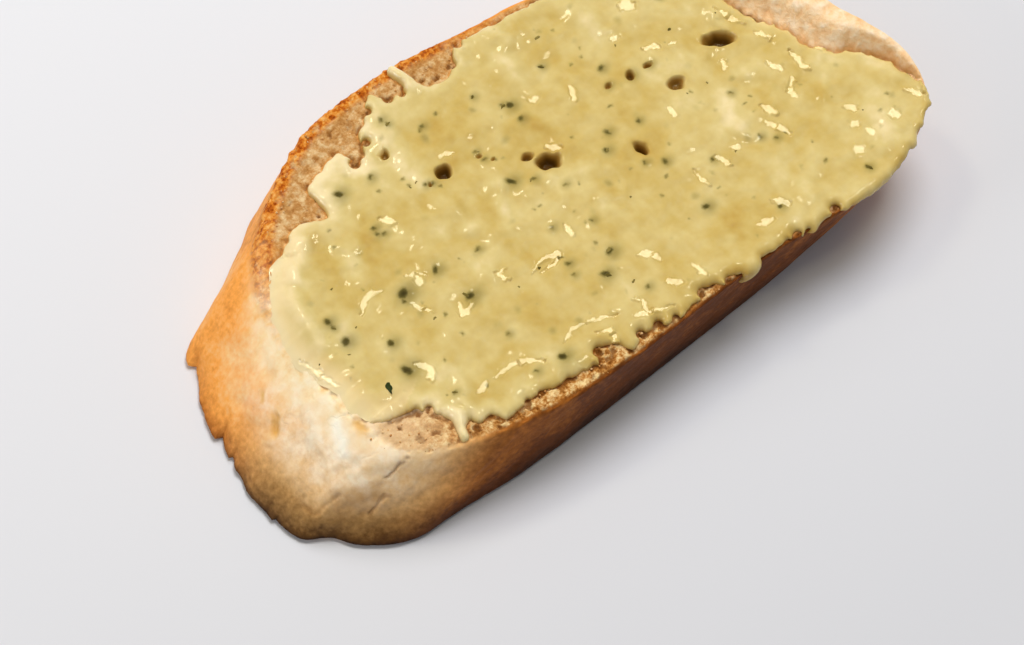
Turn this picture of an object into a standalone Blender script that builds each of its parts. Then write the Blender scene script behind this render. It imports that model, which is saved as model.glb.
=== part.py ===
# A slice of crusty white loaf, cut on the bias, with melted herb butter on its upper cut face.
# Run with blender --background --python part.py, or from Blender's text editor.
# Metres, +Z up. The loaf's length leans from low at -X to high at +X, so the crust wall slopes
# outwards at -X and is undercut at +X. The loaf's flat base is at -Y and its dome at +Y.

import math
import random

import bmesh
import bpy
import numpy as np
from mathutils import Matrix, Vector, noise
from mathutils.bvhtree import BVHTree
from mathutils.geometry import delaunay_2d_cdt

# Driving dimensions of the slice.
THICKNESS = 0.015
HALF_LENGTH = 0.0538  # the cut face, half of its long way
DOME_REACH = 0.0476  # from the face's widest line to the top of the dome
BASE_REACH = 0.0180  # from the same line to the flat base
BIAS_SHIFT = 0.0157  # how far the lower cut face lies towards -X of the upper one
CORNER_POWERS = (1.62, 2.8, 2.4, 4.0)  # how square the outline's four quarters are, from +X+Y round

# Where the baked loaf strays from that oval: turn of the outline, half width, power, outwards.
RIM_CHANGES = ((0.245, 0.050, 2, -0.0036), (0.033, 0.032, 2, -0.0026), (0.365, 0.030, 2, 0.0011))
OVERHANGS = ((0.955, 0.045, 2, 0.0017), (0.893, 0.045, 2, 0.0024))  # only its upper edge

# The crust wall between the two faces.
BULGE = 0.0006
BULGES = ((0.36, 0.06, 4, -0.0004), (0.46, 0.04, 2, 0.0004), (0.78, 0.16, 4, -0.0008))
LEANS = (  # where the foot is drawn in, or spreads
    (0.396, 0.036, 4, 0.0028),
    (0.446, 0.012, 2, -0.0008),
    (0.535, 0.040, 4, -0.0006),
    (0.592, 0.016, 2, 0.0024),
    (0.640, 0.020, 2, -0.0014),
    (0.770, 0.160, 4, 0.0014),
)
SHOULDER = 0.0006  # rounding of the upper edge
HEEL_SPAN = (0.530, 0.070, 4)  # turn, half width and power of the rounded heel
HEEL_WIDTH = 0.0045  # how far in from the rim the heel starts to fall
HEEL_DROP = 0.0010  # and how far it has fallen at the rim
FOOT_CHAMFER = 0.0006
TORN_AT = (0.452, 0.499, 0.512, 0.556)  # turns where the knife tore the foot of the crust
TORN_DEPTH = 0.0013
TORN_LENGTH = 0.022  # turns from a tear until the crust is whole again
TORN_HEIGHT = 0.006
CRUST_RELIEF = 0.00022
HEEL_RELIEF = (0.54, 0.10, 2, 0.00035)  # the cracked, floury end of the crust is rougher

# The raised lip of torn crust at the far end.
LIP_HEIGHT = 0.0036
LIP_SPAN = (0.050, 0.085, 4)  # turn, half width, power
LIP_LEAST_WIDTH = 0.0012

# The cut face.
FACE_DISH = 0.0006  # how far the crumb sank below its rim
DISH_WIDTH = 0.012
FACE_RELIEF = 0.00035
RELIEF_SIZE = 0.0045
CRAG_RELIEF = 0.00045  # bare crumb is craggier than what the butter fills
CRAG_SIZE = 0.0022

# The butter: its bare margin, the bays where crumb shows, and its tongues over them.
BUTTER_MARGIN = 0.0009
BAYS = (
    (0.230, 0.040, 4, 0.0008),
    (0.287, 0.017, 4, 0.0058),
    (0.313, 0.009, 4, 0.0038),
    (0.354, 0.026, 4, 0.0056),
    (0.357, 0.008, 4, 0.0038),
    (0.398, 0.024, 4, 0.0040),
    (0.411, 0.009, 4, 0.0024),
    (0.428, 0.021, 4, 0.0034),
    (0.598, 0.030, 4, 0.0062),
    (0.640, 0.009, 4, 0.0020),
    (0.685, 0.032, 4, 0.0022),
    (0.7215, 0.0075, 4, 0.0034),
    (0.744, 0.009, 4, 0.0013),
    (0.787, 0.006, 4, 0.0015),
    (0.985, 0.020, 2, 0.0018),
    (0.050, 0.047, 4, 0.0066),
    (0.115, 0.050, 4, 0.0018),
)
TONGUES = (
    (0.3015, 0.0045, 2, 0.0046),
    (0.327, 0.006, 2, 0.0020),
    (0.369, 0.005, 2, 0.0022),
    (0.627, 0.005, 2, 0.0022),
)
EDGE_RAGGEDNESS = 0.0005
LEAST_INSET = 0.0004  # from the rounded edge's inner line
BUTTER_GAP = 0.0003
BUTTER_EDGE = 0.0006  # thickness at its rounded edge
BUTTER_FULL = 0.0015
BUTTER_LUMPS = 0.00045
LUMP_SIZE = 0.008
BUTTER_SLOPE = 0.0030  # from its edge to its full thickness

# Open pores of the crumb that the butter didn't close: x, y, half length, half width, turn in degrees.
PORES = (
    (-0.0151, 0.0261, 0.00115, 0.00105, 0),
    (-0.0012, 0.0171, 0.00200, 0.00150, -40),
    (0.0338, 0.0164, 0.00260, 0.00120, -36),
    (0.0111, 0.0092, 0.00140, 0.00090, 83),
    (0.0237, 0.0147, 0.00170, 0.00130, -20),
    (0.0223, 0.0220, 0.00120, 0.00080, 60),
)
PORE_DEPTH = 0.0024
PORE_SIDES = 10

# Chopped herbs that stand out of the butter.
HERB_COUNT = 56
HERB_SPACING = 0.0042
HERB_LENGTH = (0.0007, 0.0012)  # half lengths, smallest and largest
HERB_WIDTH = 0.55  # of its length
HERB_HALF_HEIGHT = 0.00024
HERB_SEED = 7

# Fineness of the meshes.
RIM_STEPS = 176
WALL_STEPS = 6
FACE_SPACING = 0.0024
OUTLINE_SAMPLES = 3000

TAU = 2 * math.pi


def clear_scene():
    for obj in list(bpy.data.objects):
        bpy.data.objects.remove(obj)


def principled(name, colour, roughness, coat=0.0):
    """A plain material: the colour is linear RGB."""
    material = bpy.data.materials.new(name)
    material.use_nodes = True
    shader = material.node_tree.nodes["Principled BSDF"]
    shader.inputs["Base Color"].default_value = (*colour, 1.0)
    shader.inputs["Roughness"].default_value = roughness
    shader.inputs["Metallic"].default_value = 0.0
    shader.inputs["Coat Weight"].default_value = coat
    return material


def bump(turn, at, half_width, power):
    """1 at a turn of the outline, falling to 0 past a half width on both sides of it."""
    apart = (turn - at + 0.5) % 1.0 - 0.5
    return math.exp(-abs(apart / half_width) ** power)


def bumps(turn, rows):
    return sum(height * bump(turn, at, width, power) for at, width, power, height in rows)


def smooth_step(value):
    value = min(1.0, max(0.0, value))
    return value * value * (3 - 2 * value)


def ripple(x, y, z, size, octaves=3):
    """Fractal noise of about -1 to 1, with features of this size in metres."""
    return noise.fractal(Vector((x, y, z)) / size, 0.9, 2.0, octaves)


def corner_power(angle):
    place = (angle / (math.pi / 2) - 0.5) % 4
    quarter = int(place)
    share = smooth_step(place - quarter)
    here, after = CORNER_POWERS[quarter], CORNER_POWERS[(quarter + 1) % 4]
    return here + (after - here) * share


def outline_point(angle):
    """The face's outline: an oval, squarer at some quarters than at others."""
    power = 2 / corner_power(angle)
    across, up = math.cos(angle), math.sin(angle)
    reach = DOME_REACH if up > 0 else BASE_REACH
    x = HALF_LENGTH * math.copysign(abs(across) ** power, across)
    y = reach * math.copysign(abs(up) ** power, up)
    return x, y


class Outline:
    """The outline by turn, from 0 at +X round through +Y to 1, at an even pace along its length."""

    def __init__(self):
        angles = [TAU * i / OUTLINE_SAMPLES for i in range(OUTLINE_SAMPLES + 1)]
        points = np.array([outline_point(angle) for angle in angles])
        steps = np.linalg.norm(np.diff(points, axis=0), axis=1)
        along = np.concatenate([[0.0], np.cumsum(steps)])
        along /= along[-1]
        self.turns = np.arange(OUTLINE_SAMPLES // 4) / (OUTLINE_SAMPLES // 4)
        oval = np.array([[np.interp(turn, along, points[:, i]) for i in (0, 1)] for turn in self.turns])
        out = np.array([bumps(turn, RIM_CHANGES + OVERHANGS) for turn in self.turns])
        self.rim = oval + self.outwards(oval) * out[:, None]
        self.normals = self.outwards(self.rim)

    @staticmethod
    def outwards(loop):
        """Unit vectors square to a closed loop, away from its inside."""
        ahead = np.roll(loop, -1, axis=0) - np.roll(loop, 1, axis=0)
        normals = np.stack([ahead[:, 1], -ahead[:, 0]], axis=1)
        return normals / np.linalg.norm(normals, axis=1)[:, None]

    def at(self, turn):
        return np.array([np.interp(turn % 1.0, self.turns, self.rim[:, i], period=1.0) for i in (0, 1)])

    def normal(self, turn):
        x, y = (np.interp(turn % 1.0, self.turns, self.normals[:, i], period=1.0) for i in (0, 1))
        return np.array([x, y]) / math.hypot(x, y)

    def place(self, x, y):
        """(turn, inset) of a point of the face: the nearest point of the rim, and how far in it is."""
        away = self.rim - (x, y)
        nearest = int((away**2).sum(axis=1).argmin())
        return self.turns[nearest], float(away[nearest] @ self.normals[nearest])

    def loop(self, count, inset):
        """Points of the outline, drawn in by inset(turn)."""
        made = []
        for i in range(count):
            turn = i / count
            made.append(self.at(turn) - self.normal(turn) * inset(turn))
        return made


def heel_fall(turn, inset):
    """How far the face has fallen where the heel rounds off into the crust wall."""
    return HEEL_DROP * bump(turn, *HEEL_SPAN) * max(0.0, 1 - inset / HEEL_WIDTH) ** 2


def butter_inset(turn):
    """How far the butter's edge lies inside the rim."""
    inset = BUTTER_MARGIN + bumps(turn, BAYS) - bumps(turn, TONGUES)
    x, y = OUTLINE.at(turn)
    inset += EDGE_RAGGEDNESS * ripple(x, y, 0.0, 0.003)
    return max(inset, SHOULDER + LEAST_INSET)


def lip_height(turn, inset):
    """The raised lip: highest near the rim, down to nothing at the butter's edge."""
    at, half_width, power = LIP_SPAN
    width = max(butter_inset(turn), LIP_LEAST_WIDTH)
    return LIP_HEIGHT * bump(turn, at, half_width, power) * smooth_step(1.6 * (1 - inset / width))


def face_height(x, y):
    """The height of the upper cut face, crags and lip included."""
    turn, inset = OUTLINE.place(x, y)
    dish = FACE_DISH * smooth_step(inset / DISH_WIDTH)
    bare = 1 - smooth_step((inset - butter_inset(turn)) / FACE_SPACING + 1)
    relief = FACE_RELIEF * ripple(x, y, 0.0, RELIEF_SIZE)
    crags = CRAG_RELIEF * bare * ripple(x, y, 0.01, CRAG_SIZE, 2)
    return THICKNESS - dish - heel_fall(turn, inset) + relief + crags + lip_height(turn, inset)


def butter_thickness(x, y):
    turn, inset = OUTLINE.place(x, y)
    inside = inset - butter_inset(turn)
    for at_x, at_y, half_length, _, _ in PORES:
        inside = min(inside, math.hypot(x - at_x, y - at_y) - half_length)
    share = math.sqrt(smooth_step(inside / BUTTER_SLOPE)) if inside > 0 else 0.0
    lumps = BUTTER_LUMPS * ripple(x, y, 0.05, LUMP_SIZE)
    return BUTTER_EDGE + (BUTTER_FULL - BUTTER_EDGE + lumps) * share


def torn(turn, height):
    """How far the foot of the crust is torn away."""
    depth = 0.0
    for at in TORN_AT:
        past = (turn - at) % 1.0
        depth = max(depth, TORN_DEPTH * (1 - past / TORN_LENGTH))
    return depth * smooth_step(1 - height / TORN_HEIGHT)


def wall_offset(turn, share):
    """How far the wall stands out of the straight line between the faces. share is 1 at the top."""
    bulge = (BULGE + bumps(turn, BULGES)) * math.sin(math.pi * share)
    drawn_in = bumps(turn, LEANS + OVERHANGS) * (1 - share)
    return bulge - drawn_in - torn(turn, THICKNESS * share)


def wall_ring(share, inset=0.0):
    """One closed ring of the wall, at a share of the thickness."""
    ring = []
    height = THICKNESS * share
    for i in range(RIM_STEPS):
        turn = i / RIM_STEPS
        out = wall_offset(turn, share) - inset
        x, y = OUTLINE.at(turn) + OUTLINE.normal(turn) * out
        rough = CRUST_RELIEF + HEEL_RELIEF[3] * bump(turn, *HEEL_RELIEF[:3])
        out = rough * ripple(x, y, height, 0.006) * math.sin(math.pi * share) ** 0.5
        x, y = np.array([x, y]) + OUTLINE.normal(turn) * out
        ring.append((x - BIAS_SHIFT * (1 - share), y, height))
    return ring


def shoulder_rings():
    """The rounding from the face's flat edge to the wall, from the top down, first ring left out."""
    rings = []
    for share in (0.35, 0.72):
        ring = []
        inset = SHOULDER * (1 - math.sin(share * math.pi / 2))
        for i in range(RIM_STEPS):
            turn = i / RIM_STEPS
            x, y = OUTLINE.at(turn) - OUTLINE.normal(turn) * inset
            drop = SHOULDER * (1 - math.cos(share * math.pi / 2)) + share * heel_fall(turn, 0.0)
            edge_x, edge_y = OUTLINE.at(turn) - OUTLINE.normal(turn) * SHOULDER
            fallen = drop + heel_fall(turn, SHOULDER)
            ring.append((x - BIAS_SHIFT * fallen / THICKNESS, y, face_height(edge_x, edge_y) - drop))
        rings.append(ring)
    return rings


def even_points(loops):
    """A staggered grid over the face, clear of the loops."""
    taken = np.array([point for loop in loops for point in loop])
    row_step = FACE_SPACING * math.sqrt(3) / 2
    found = []
    for row in range(-int(BASE_REACH / row_step) - 1, int(DOME_REACH / row_step) + 2):
        for column in range(-int(HALF_LENGTH / FACE_SPACING) - 1, int(HALF_LENGTH / FACE_SPACING) + 2):
            x = (column + 0.5 * (row % 2)) * FACE_SPACING
            y = row * row_step
            inset = OUTLINE.place(x, y)[1]
            if inset < SHOULDER + 0.6 * FACE_SPACING:
                continue
            if np.min(np.linalg.norm(taken - (x, y), axis=1)) > 0.58 * FACE_SPACING:
                found.append(np.array([x, y]))
    return found


def within(loop, x, y):
    """True if the point is inside the closed loop."""
    corners = np.array(loop)
    after = np.roll(corners, -1, axis=0)
    spans = (corners[:, 1] > y) != (after[:, 1] > y)
    rise = np.where(spans, after[:, 1] - corners[:, 1], 1.0)
    crossing = corners[:, 0] + (y - corners[:, 1]) / rise * (after[:, 0] - corners[:, 0])
    return bool(np.count_nonzero(spans & (crossing > x)) % 2)


def pore_loop(x, y, half_length, half_width, degrees):
    tilt = math.radians(degrees)
    loop = []
    for i in range(PORE_SIDES):
        angle = TAU * i / PORE_SIDES
        along, across = half_length * math.cos(angle), half_width * math.sin(angle)
        point = (
            x + along * math.cos(tilt) - across * math.sin(tilt),
            y + along * math.sin(tilt) + across * math.cos(tilt),
        )
        loop.append(np.array(point))
    return loop


class FacePlan:
    """The one triangulation of the cut face that the bread and the butter share, so that they fit."""

    def __init__(self):
        self.rim = OUTLINE.loop(RIM_STEPS, lambda turn: SHOULDER)
        self.edge = OUTLINE.loop(RIM_STEPS + 40, butter_inset)
        self.pores = [pore_loop(*pore) for pore in PORES]
        loops = [self.rim, self.edge, *self.pores]
        inner = even_points(loops) + [np.array(pore[:2]) for pore in PORES]
        points = [Vector(p) for loop in loops for p in loop] + [Vector(p) for p in inner]
        edges, first = [], 0
        for loop in loops:
            edges += [(first + i, first + (i + 1) % len(loop)) for i in range(len(loop))]
            first += len(loop)
        found = delaunay_2d_cdt(points, edges, [], 1, 1e-7)
        self.points = [tuple(p) for p in found[0]]
        self.triangles = [tuple(face) for face in found[2]]
        self.rim_index = [self.index_of(p) for p in self.rim]
        self.buttered = [t for t in self.triangles if self.has_butter(t)]

    def index_of(self, point):
        away = np.linalg.norm(np.array(self.points) - point, axis=1)
        return int(away.argmin())

    def has_butter(self, triangle):
        x, y = np.mean([self.points[i] for i in triangle], axis=0)
        return within(self.edge, x, y) and not any(within(pore, x, y) for pore in self.pores)


def add_object(name, mesh_data, material, parent):
    mesh = bpy.data.meshes.new(name)
    mesh_data.normal_update()
    mesh_data.to_mesh(mesh)
    mesh_data.free()
    mesh.materials.append(material)
    mesh.shade_smooth()
    mesh.set_sharp_from_angle(angle=math.radians(50))
    obj = bpy.data.objects.new(name, mesh)
    bpy.context.scene.collection.objects.link(obj)
    obj.parent = parent
    return obj


def ring_band(shape, upper, lower):
    """Quads between two rings of the same length, both anticlockwise seen from above."""
    count = len(upper)
    for i in range(count):
        after = (i + 1) % count
        shape.faces.new((upper[i], lower[i], lower[after], upper[after]))


def pore_pit(x, y):
    """How deep the crumb's open pores go at a point of the face."""
    return PORE_DEPTH if any(math.hypot(x - p[0], y - p[1]) < 1e-6 for p in PORES) else 0.0


def make_bread(plan, material, parent):
    shape = bmesh.new()
    top = [shape.verts.new((x, y, face_height(x, y) - pore_pit(x, y))) for x, y in plan.points]
    for triangle in plan.triangles:
        shape.faces.new([top[i] for i in triangle])
    upper = [top[i] for i in plan.rim_index]
    foot = FOOT_CHAMFER / THICKNESS
    rings = shoulder_rings()
    rings += [wall_ring(0.86 + (foot - 0.86) * step / WALL_STEPS) for step in range(WALL_STEPS + 1)]
    rings.append(wall_ring(0.0, FOOT_CHAMFER))
    for ring in rings:
        lower = [shape.verts.new(point) for point in ring]
        ring_band(shape, upper, lower)
        upper = lower
    shape.faces.new(upper[::-1])
    return add_object("bread", shape, material, parent)


def open_edges(triangles):
    """The directed edges that only one triangle has."""
    sides = {(t[i], t[(i + 1) % 3]) for t in triangles for i in range(3)}
    return [side for side in sides if side[::-1] not in sides]


def make_butter(plan, material, parent):
    shape = bmesh.new()
    under, over = {}, {}
    for i in sorted({i for triangle in plan.buttered for i in triangle}):
        x, y = plan.points[i]
        height = face_height(x, y) + BUTTER_GAP
        under[i] = shape.verts.new((x, y, height))
        over[i] = shape.verts.new((x, y, height + butter_thickness(x, y)))
    for triangle in plan.buttered:
        shape.faces.new([over[i] for i in triangle])
        shape.faces.new([under[i] for i in reversed(triangle)])
    for a, b in open_edges(plan.buttered):
        shape.faces.new((over[a], under[a], under[b], over[b]))
    return add_object("butter", shape, material, parent)


def herb_places():
    """Spread over the butter, seeded, none close to another, an edge or a pore."""
    draw = random.Random(HERB_SEED)
    found = []
    while len(found) < HERB_COUNT:
        x = draw.uniform(-HALF_LENGTH, HALF_LENGTH)
        y = draw.uniform(-BASE_REACH, DOME_REACH)
        turn, inset = OUTLINE.place(x, y)
        if inset < butter_inset(turn) + BUTTER_SLOPE:
            continue
        if any(math.hypot(x - p[0], y - p[1]) < p[2] + BUTTER_SLOPE for p in PORES):
            continue
        if all(math.hypot(x - a, y - b) > HERB_SPACING for a, b in found):
            found.append((x, y))
    return found


def herb_fleck(x, y, height, draw):
    """A flake of chopped leaf, lying nearly flat in the butter's surface."""
    bpy.ops.mesh.primitive_ico_sphere_add(subdivisions=1, radius=1.0)
    fleck = bpy.context.object
    half_length = draw.uniform(*HERB_LENGTH)
    size = (half_length, half_length * HERB_WIDTH, HERB_HALF_HEIGHT)
    turned = Matrix.Rotation(draw.uniform(0, TAU), 4, "Z") @ Matrix.Diagonal((*size, 1.0))
    fleck.data.transform(Matrix.Translation((x, y, height)) @ turned)
    return fleck


def fuse_herbs(butter):
    """Joins the flecks to the butter with one Boolean union, and then removes them."""
    draw = random.Random(HERB_SEED)
    surface = BVHTree.FromObject(butter, bpy.context.evaluated_depsgraph_get())
    flecks = bpy.data.collections.new("herb_flecks")
    for x, y in herb_places():
        hit = surface.ray_cast(Vector((x, y, 1.0)), Vector((0, 0, -1)))[0]
        flecks.objects.link(herb_fleck(x, y, hit.z, draw))
    union = butter.modifiers.new("herbs", "BOOLEAN")
    union.operation = "UNION"
    union.operand_type = "COLLECTION"
    union.collection = flecks
    union.solver = "MANIFOLD"
    bpy.context.view_layer.objects.active = butter
    bpy.ops.object.modifier_apply(modifier="herbs")
    for fleck in list(flecks.objects):
        bpy.data.objects.remove(fleck)
    bpy.data.collections.remove(flecks)


def centre_on_floor(frame, bread):
    """Moves the slice so that the origin is under the middle of its bounding box, at its foot."""
    corners = np.array([vertex.co for vertex in bread.data.vertices])
    low, high = corners.min(axis=0), corners.max(axis=0)
    frame.location = (-(low[0] + high[0]) / 2, -(low[1] + high[1]) / 2, -low[2])


def main():
    clear_scene()
    crust = principled("baked_crust", (0.62, 0.33, 0.12), 0.55)
    melted = principled("herb_butter", (0.76, 0.58, 0.20), 0.18, coat=0.5)
    frame = bpy.data.objects.new("slice_frame", None)
    bpy.context.scene.collection.objects.link(frame)
    plan = FacePlan()
    bread = make_bread(plan, crust, frame)
    butter = make_butter(plan, melted, frame)
    fuse_herbs(butter)
    centre_on_floor(frame, bread)


OUTLINE = Outline()
main()
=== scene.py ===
import itertools
import math
import random
import bpy
import numpy as np
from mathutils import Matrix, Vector, kdtree, noise
from mathutils.geometry import delaunay_2d_cdt


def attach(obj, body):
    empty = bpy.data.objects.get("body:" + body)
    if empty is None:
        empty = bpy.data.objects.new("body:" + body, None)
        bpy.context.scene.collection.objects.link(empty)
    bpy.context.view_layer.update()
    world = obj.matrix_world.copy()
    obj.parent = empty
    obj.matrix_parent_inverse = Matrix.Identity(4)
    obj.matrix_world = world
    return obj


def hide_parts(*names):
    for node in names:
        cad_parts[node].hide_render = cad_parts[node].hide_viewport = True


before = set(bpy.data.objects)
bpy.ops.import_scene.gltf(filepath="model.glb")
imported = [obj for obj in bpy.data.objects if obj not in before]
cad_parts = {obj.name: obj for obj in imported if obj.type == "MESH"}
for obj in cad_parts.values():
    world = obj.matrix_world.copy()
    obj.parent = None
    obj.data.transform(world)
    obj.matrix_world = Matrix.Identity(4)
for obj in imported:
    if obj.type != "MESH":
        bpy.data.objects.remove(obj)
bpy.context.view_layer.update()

# A bias-cut slice of crusty loaf under melted garlic-and-herb butter.
# Lengths below are millimetres unless they say otherwise; metres come in when a mesh is made.
mm = 0.001

# the form of the slice, the same numbers as its solid
loaf = {
    "thickness": 15.0,
    "halfLength": 53.8,
    "domeReach": 47.6,
    "baseReach": 18.0,
    "biasShift": 15.7,
    "cornerPowers": (1.62, 2.8, 2.4, 4.0),
    "middle": (7.704, -13.607),  # the outline's middle in the object's frame
    "rimChanges": ((0.245, 0.050, 2, -3.6), (0.033, 0.032, 2, -2.6), (0.365, 0.030, 2, 1.1)),
    "overhangs": ((0.955, 0.045, 2, 1.7), (0.893, 0.045, 2, 2.4)),
    "bulge": 0.6,
    "bulges": ((0.36, 0.06, 4, -0.4), (0.46, 0.04, 2, 0.4), (0.78, 0.16, 4, -0.8)),
    "leans": (
        (0.396, 0.036, 4, 2.8),
        (0.446, 0.012, 2, -0.8),
        (0.535, 0.040, 4, -0.6),
        (0.592, 0.016, 2, 2.4),
        (0.640, 0.020, 2, -1.4),
        (0.770, 0.160, 4, 1.4),
    ),
    "torn": ((0.452, 1.3), (0.499, 1.3), (0.512, 1.2), (0.556, 0.6)),  # turn, depth
    "tornLength": 0.022,
    "tornHeight": 4.2,
    "roughEnd": (0.540, 0.100, 2),
    "heel": (0.530, 0.070, 4),
    "lip": (0.050, 0.085, 4),
    "lipHeight": 3.6,
    "dish": 0.6,
    "dishWidth": 12.0,
}

spread = {  # where the butter ends, as mm inside the rim, by turn of the outline
    "margin": 0.9,
    "bays": (
        (0.230, 0.040, 4, 0.8),
        (0.287, 0.017, 4, 5.8),
        (0.313, 0.009, 4, 3.8),
        (0.354, 0.026, 4, 5.6),
        (0.357, 0.008, 4, 3.8),
        (0.398, 0.024, 4, 4.0),
        (0.411, 0.009, 4, 2.4),
        (0.428, 0.021, 4, 3.4),
        (0.598, 0.030, 4, 6.2),
        (0.640, 0.009, 4, 2.0),
        (0.685, 0.032, 4, 2.2),
        (0.7215, 0.0075, 4, 3.4),
        (0.744, 0.009, 4, 1.3),
        (0.787, 0.006, 4, 1.5),
        (0.985, 0.020, 2, 1.8),
        (0.050, 0.047, 4, 6.6),
        (0.115, 0.050, 4, 1.8),
    ),
    "overruns": (  # where it ran over the rim
        (0.497, 0.030, 4, 2.3),
        (0.803, 0.011, 2, 1.7),
        (0.832, 0.012, 2, 0.9),
        (0.851, 0.007, 2, 1.9),
        (0.880, 0.022, 4, 1.2),
        (0.915, 0.025, 4, 1.4),
        (0.955, 0.012, 2, 1.3),
    ),
    "fingers": (  # x, y to x, y and half width, where butter reaches over the crumb
        (-9.5, 45.2, -8.2, 39.9, 0.95),
        (-15.9, 42.4, -14.0, 39.0, 1.3),
        (-25.9, 38.6, -27.6, 34.5, 0.9),
        (-31.0, 36.0, -30.0, 33.0, 0.8),
        (-41.3, -8.6, -42.4, -11.6, 0.75),
        (-38.0, -8.0, -38.6, -10.4, 0.9),
        (-15.6, -12.6, -12.9, -14.6, 0.9),
        (9.6, -15.6, 11.0, -19.2, 1.5),
    ),
    "bites": (  # x, y and radius, where open pores of the crumb cut into it
        (1.6, 42.6, 0.8),
        (-1.6, 40.4, 0.9),
        (-4.8, 40.1, 0.8),
        (-7.0, 41.3, 0.7),
        (-10.9, 41.2, 0.6),
        (-13.2, 41.9, 0.8),
        (-17.2, 42.2, 0.7),
        (-20.9, 38.0, 0.7),
        (-20.7, 35.6, 0.9),
        (-24.6, 36.3, 0.9),
        (-34.8, 32.7, 0.8),
        (-40.3, 31.1, 0.5),
        (-45.2, -3.5, 0.8),
        (-43.4, -4.4, 0.7),
        (-41.3, -5.4, 0.7),
        (-48.9, -3.9, 0.9),
        (-39.9, -11.4, 0.7),
        (-31.2, -13.2, 0.6),
        (-20.4, -13.4, 1.1),
        (-17.4, -13.7, 1.0),
        (-10.6, -15.6, 0.8),
        (-7.4, -16.0, 0.8),
        (-4.6, -16.9, 0.6),
        (1.4, -16.4, 0.9),
        (6.0, -17.6, 0.9),
        (6.9, -17.9, 0.8),
        (7.8, -18.4, 0.8),
        (19.3, -18.6, 1.0),
        (21.2, -19.2, 0.7),
        (26.9, -18.8, 0.9),
    ),
}


def hump(turn, at, width, power):
    apart = (turn - at + 0.5) % 1.0 - 0.5
    return np.exp(-np.abs(apart / width) ** power)


def humps(turn, rows):
    return sum(height * hump(turn, at, width, power) for at, width, power, height in rows)


def smooth(value):
    value = np.clip(value, 0.0, 1.0)
    return value * value * (3 - 2 * value)


def ripple(x, y, z, size, octaves=3):
    # fractal noise of about -1 to 1, with features of this many mm; one number as z picks the pattern
    places = zip(*(np.broadcast_to(axis, np.shape(x)) / size for axis in (x, y, z)))
    return np.fromiter((noise.fractal(place, 0.9, 2.0, octaves) for place in places), float, len(x))


def outwards(loop):
    ahead = np.roll(loop, -1, axis=0) - np.roll(loop, 1, axis=0)
    normals = np.stack([ahead[:, 1], -ahead[:, 0]], axis=1)
    return normals / np.linalg.norm(normals, axis=1)[:, None]


def ovalPoints(angle):
    # an oval with its own squareness in each corner
    place = (angle / (math.pi / 2) - 0.5) % 4
    quarter = place.astype(int)
    powers = np.array(loaf["cornerPowers"])
    here, after = powers[quarter % 4], powers[(quarter + 1) % 4]
    power = 2 / (here + (after - here) * smooth(place - quarter))
    across, up = np.cos(angle), np.sin(angle)
    reach = np.where(up > 0, loaf["domeReach"], loaf["baseReach"])
    x = loaf["halfLength"] * np.sign(across) * np.abs(across) ** power
    return np.stack([x, reach * np.sign(up) * np.abs(up) ** power], axis=1)


def makeRim(count=3000):
    # the outline, evenly spaced: turn is the share of the way round from +X
    oval = ovalPoints(np.linspace(0, 2 * math.pi, count + 1))
    along = np.concatenate([[0], np.cumsum(np.linalg.norm(np.diff(oval, axis=0), axis=1))])
    turns = np.arange(count) / count
    rim = np.stack([np.interp(turns, along / along[-1], oval[:, i]) for i in (0, 1)], axis=1)
    out = humps(turns, loaf["rimChanges"] + loaf["overhangs"])
    rim = rim + outwards(rim) * out[:, None]
    return turns, rim, outwards(rim)


rimTurns, rimPoints, rimNormals = makeRim()
rimTree = kdtree.KDTree(len(rimPoints))
for number, point in enumerate(rimPoints):
    rimTree.insert((point[0], point[1], 0), number)
rimTree.balance()


def rimAt(turn):
    return np.stack([np.interp(turn % 1.0, rimTurns, rimPoints[:, i], period=1.0) for i in (0, 1)], axis=1)


def normalAt(turn):
    found = np.stack([np.interp(turn % 1.0, rimTurns, rimNormals[:, i], period=1.0) for i in (0, 1)], axis=1)
    return found / np.linalg.norm(found, axis=1)[:, None]


def placeOf(x, y):
    # (turn, mm inside the rim) of points of the face
    nearest = np.fromiter((rimTree.find((a, b, 0))[1] for a, b in zip(x, y)), int, len(x))
    away = rimPoints[nearest] - np.stack([x, y], axis=1)
    return rimTurns[nearest], (away * rimNormals[nearest]).sum(axis=1)


def butterInset(turn):
    inset = spread["margin"] + humps(turn, spread["bays"])
    rim = rimAt(turn)
    inset = inset + 0.5 * ripple(rim[:, 0], rim[:, 1], 0.0, 3.0)
    return np.maximum(inset, 0.7) - humps(turn, spread["overruns"])


insetTable = butterInset(rimTurns)


def insetAt(turn):
    return np.interp(turn % 1.0, rimTurns, insetTable, period=1.0)


def fromLine(x, y, line):
    # offset and distance of points from a short straight line
    x1, y1, x2, y2 = line
    length = (x2 - x1) ** 2 + (y2 - y1) ** 2 + 1e-9
    share = np.clip(((x - x1) * (x2 - x1) + (y - y1) * (y2 - y1)) / length, 0, 1)
    offX, offY = x - x1 - share * (x2 - x1), y - y1 - share * (y2 - y1)
    return offX, offY, np.hypot(offX, offY)


def blendedMax(a, b, width):
    share = np.clip(0.5 + 0.5 * (a - b) / width, 0, 1)
    return b + (a - b) * share + width * share * (1 - share)


# how far inside the butter's edge each place is, on a grid; the outside counts as negative
gridStep = 0.3
gridX, gridY = np.arange(-60.0, 58.0, gridStep), np.arange(-24.0, 52.0, gridStep)


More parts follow.
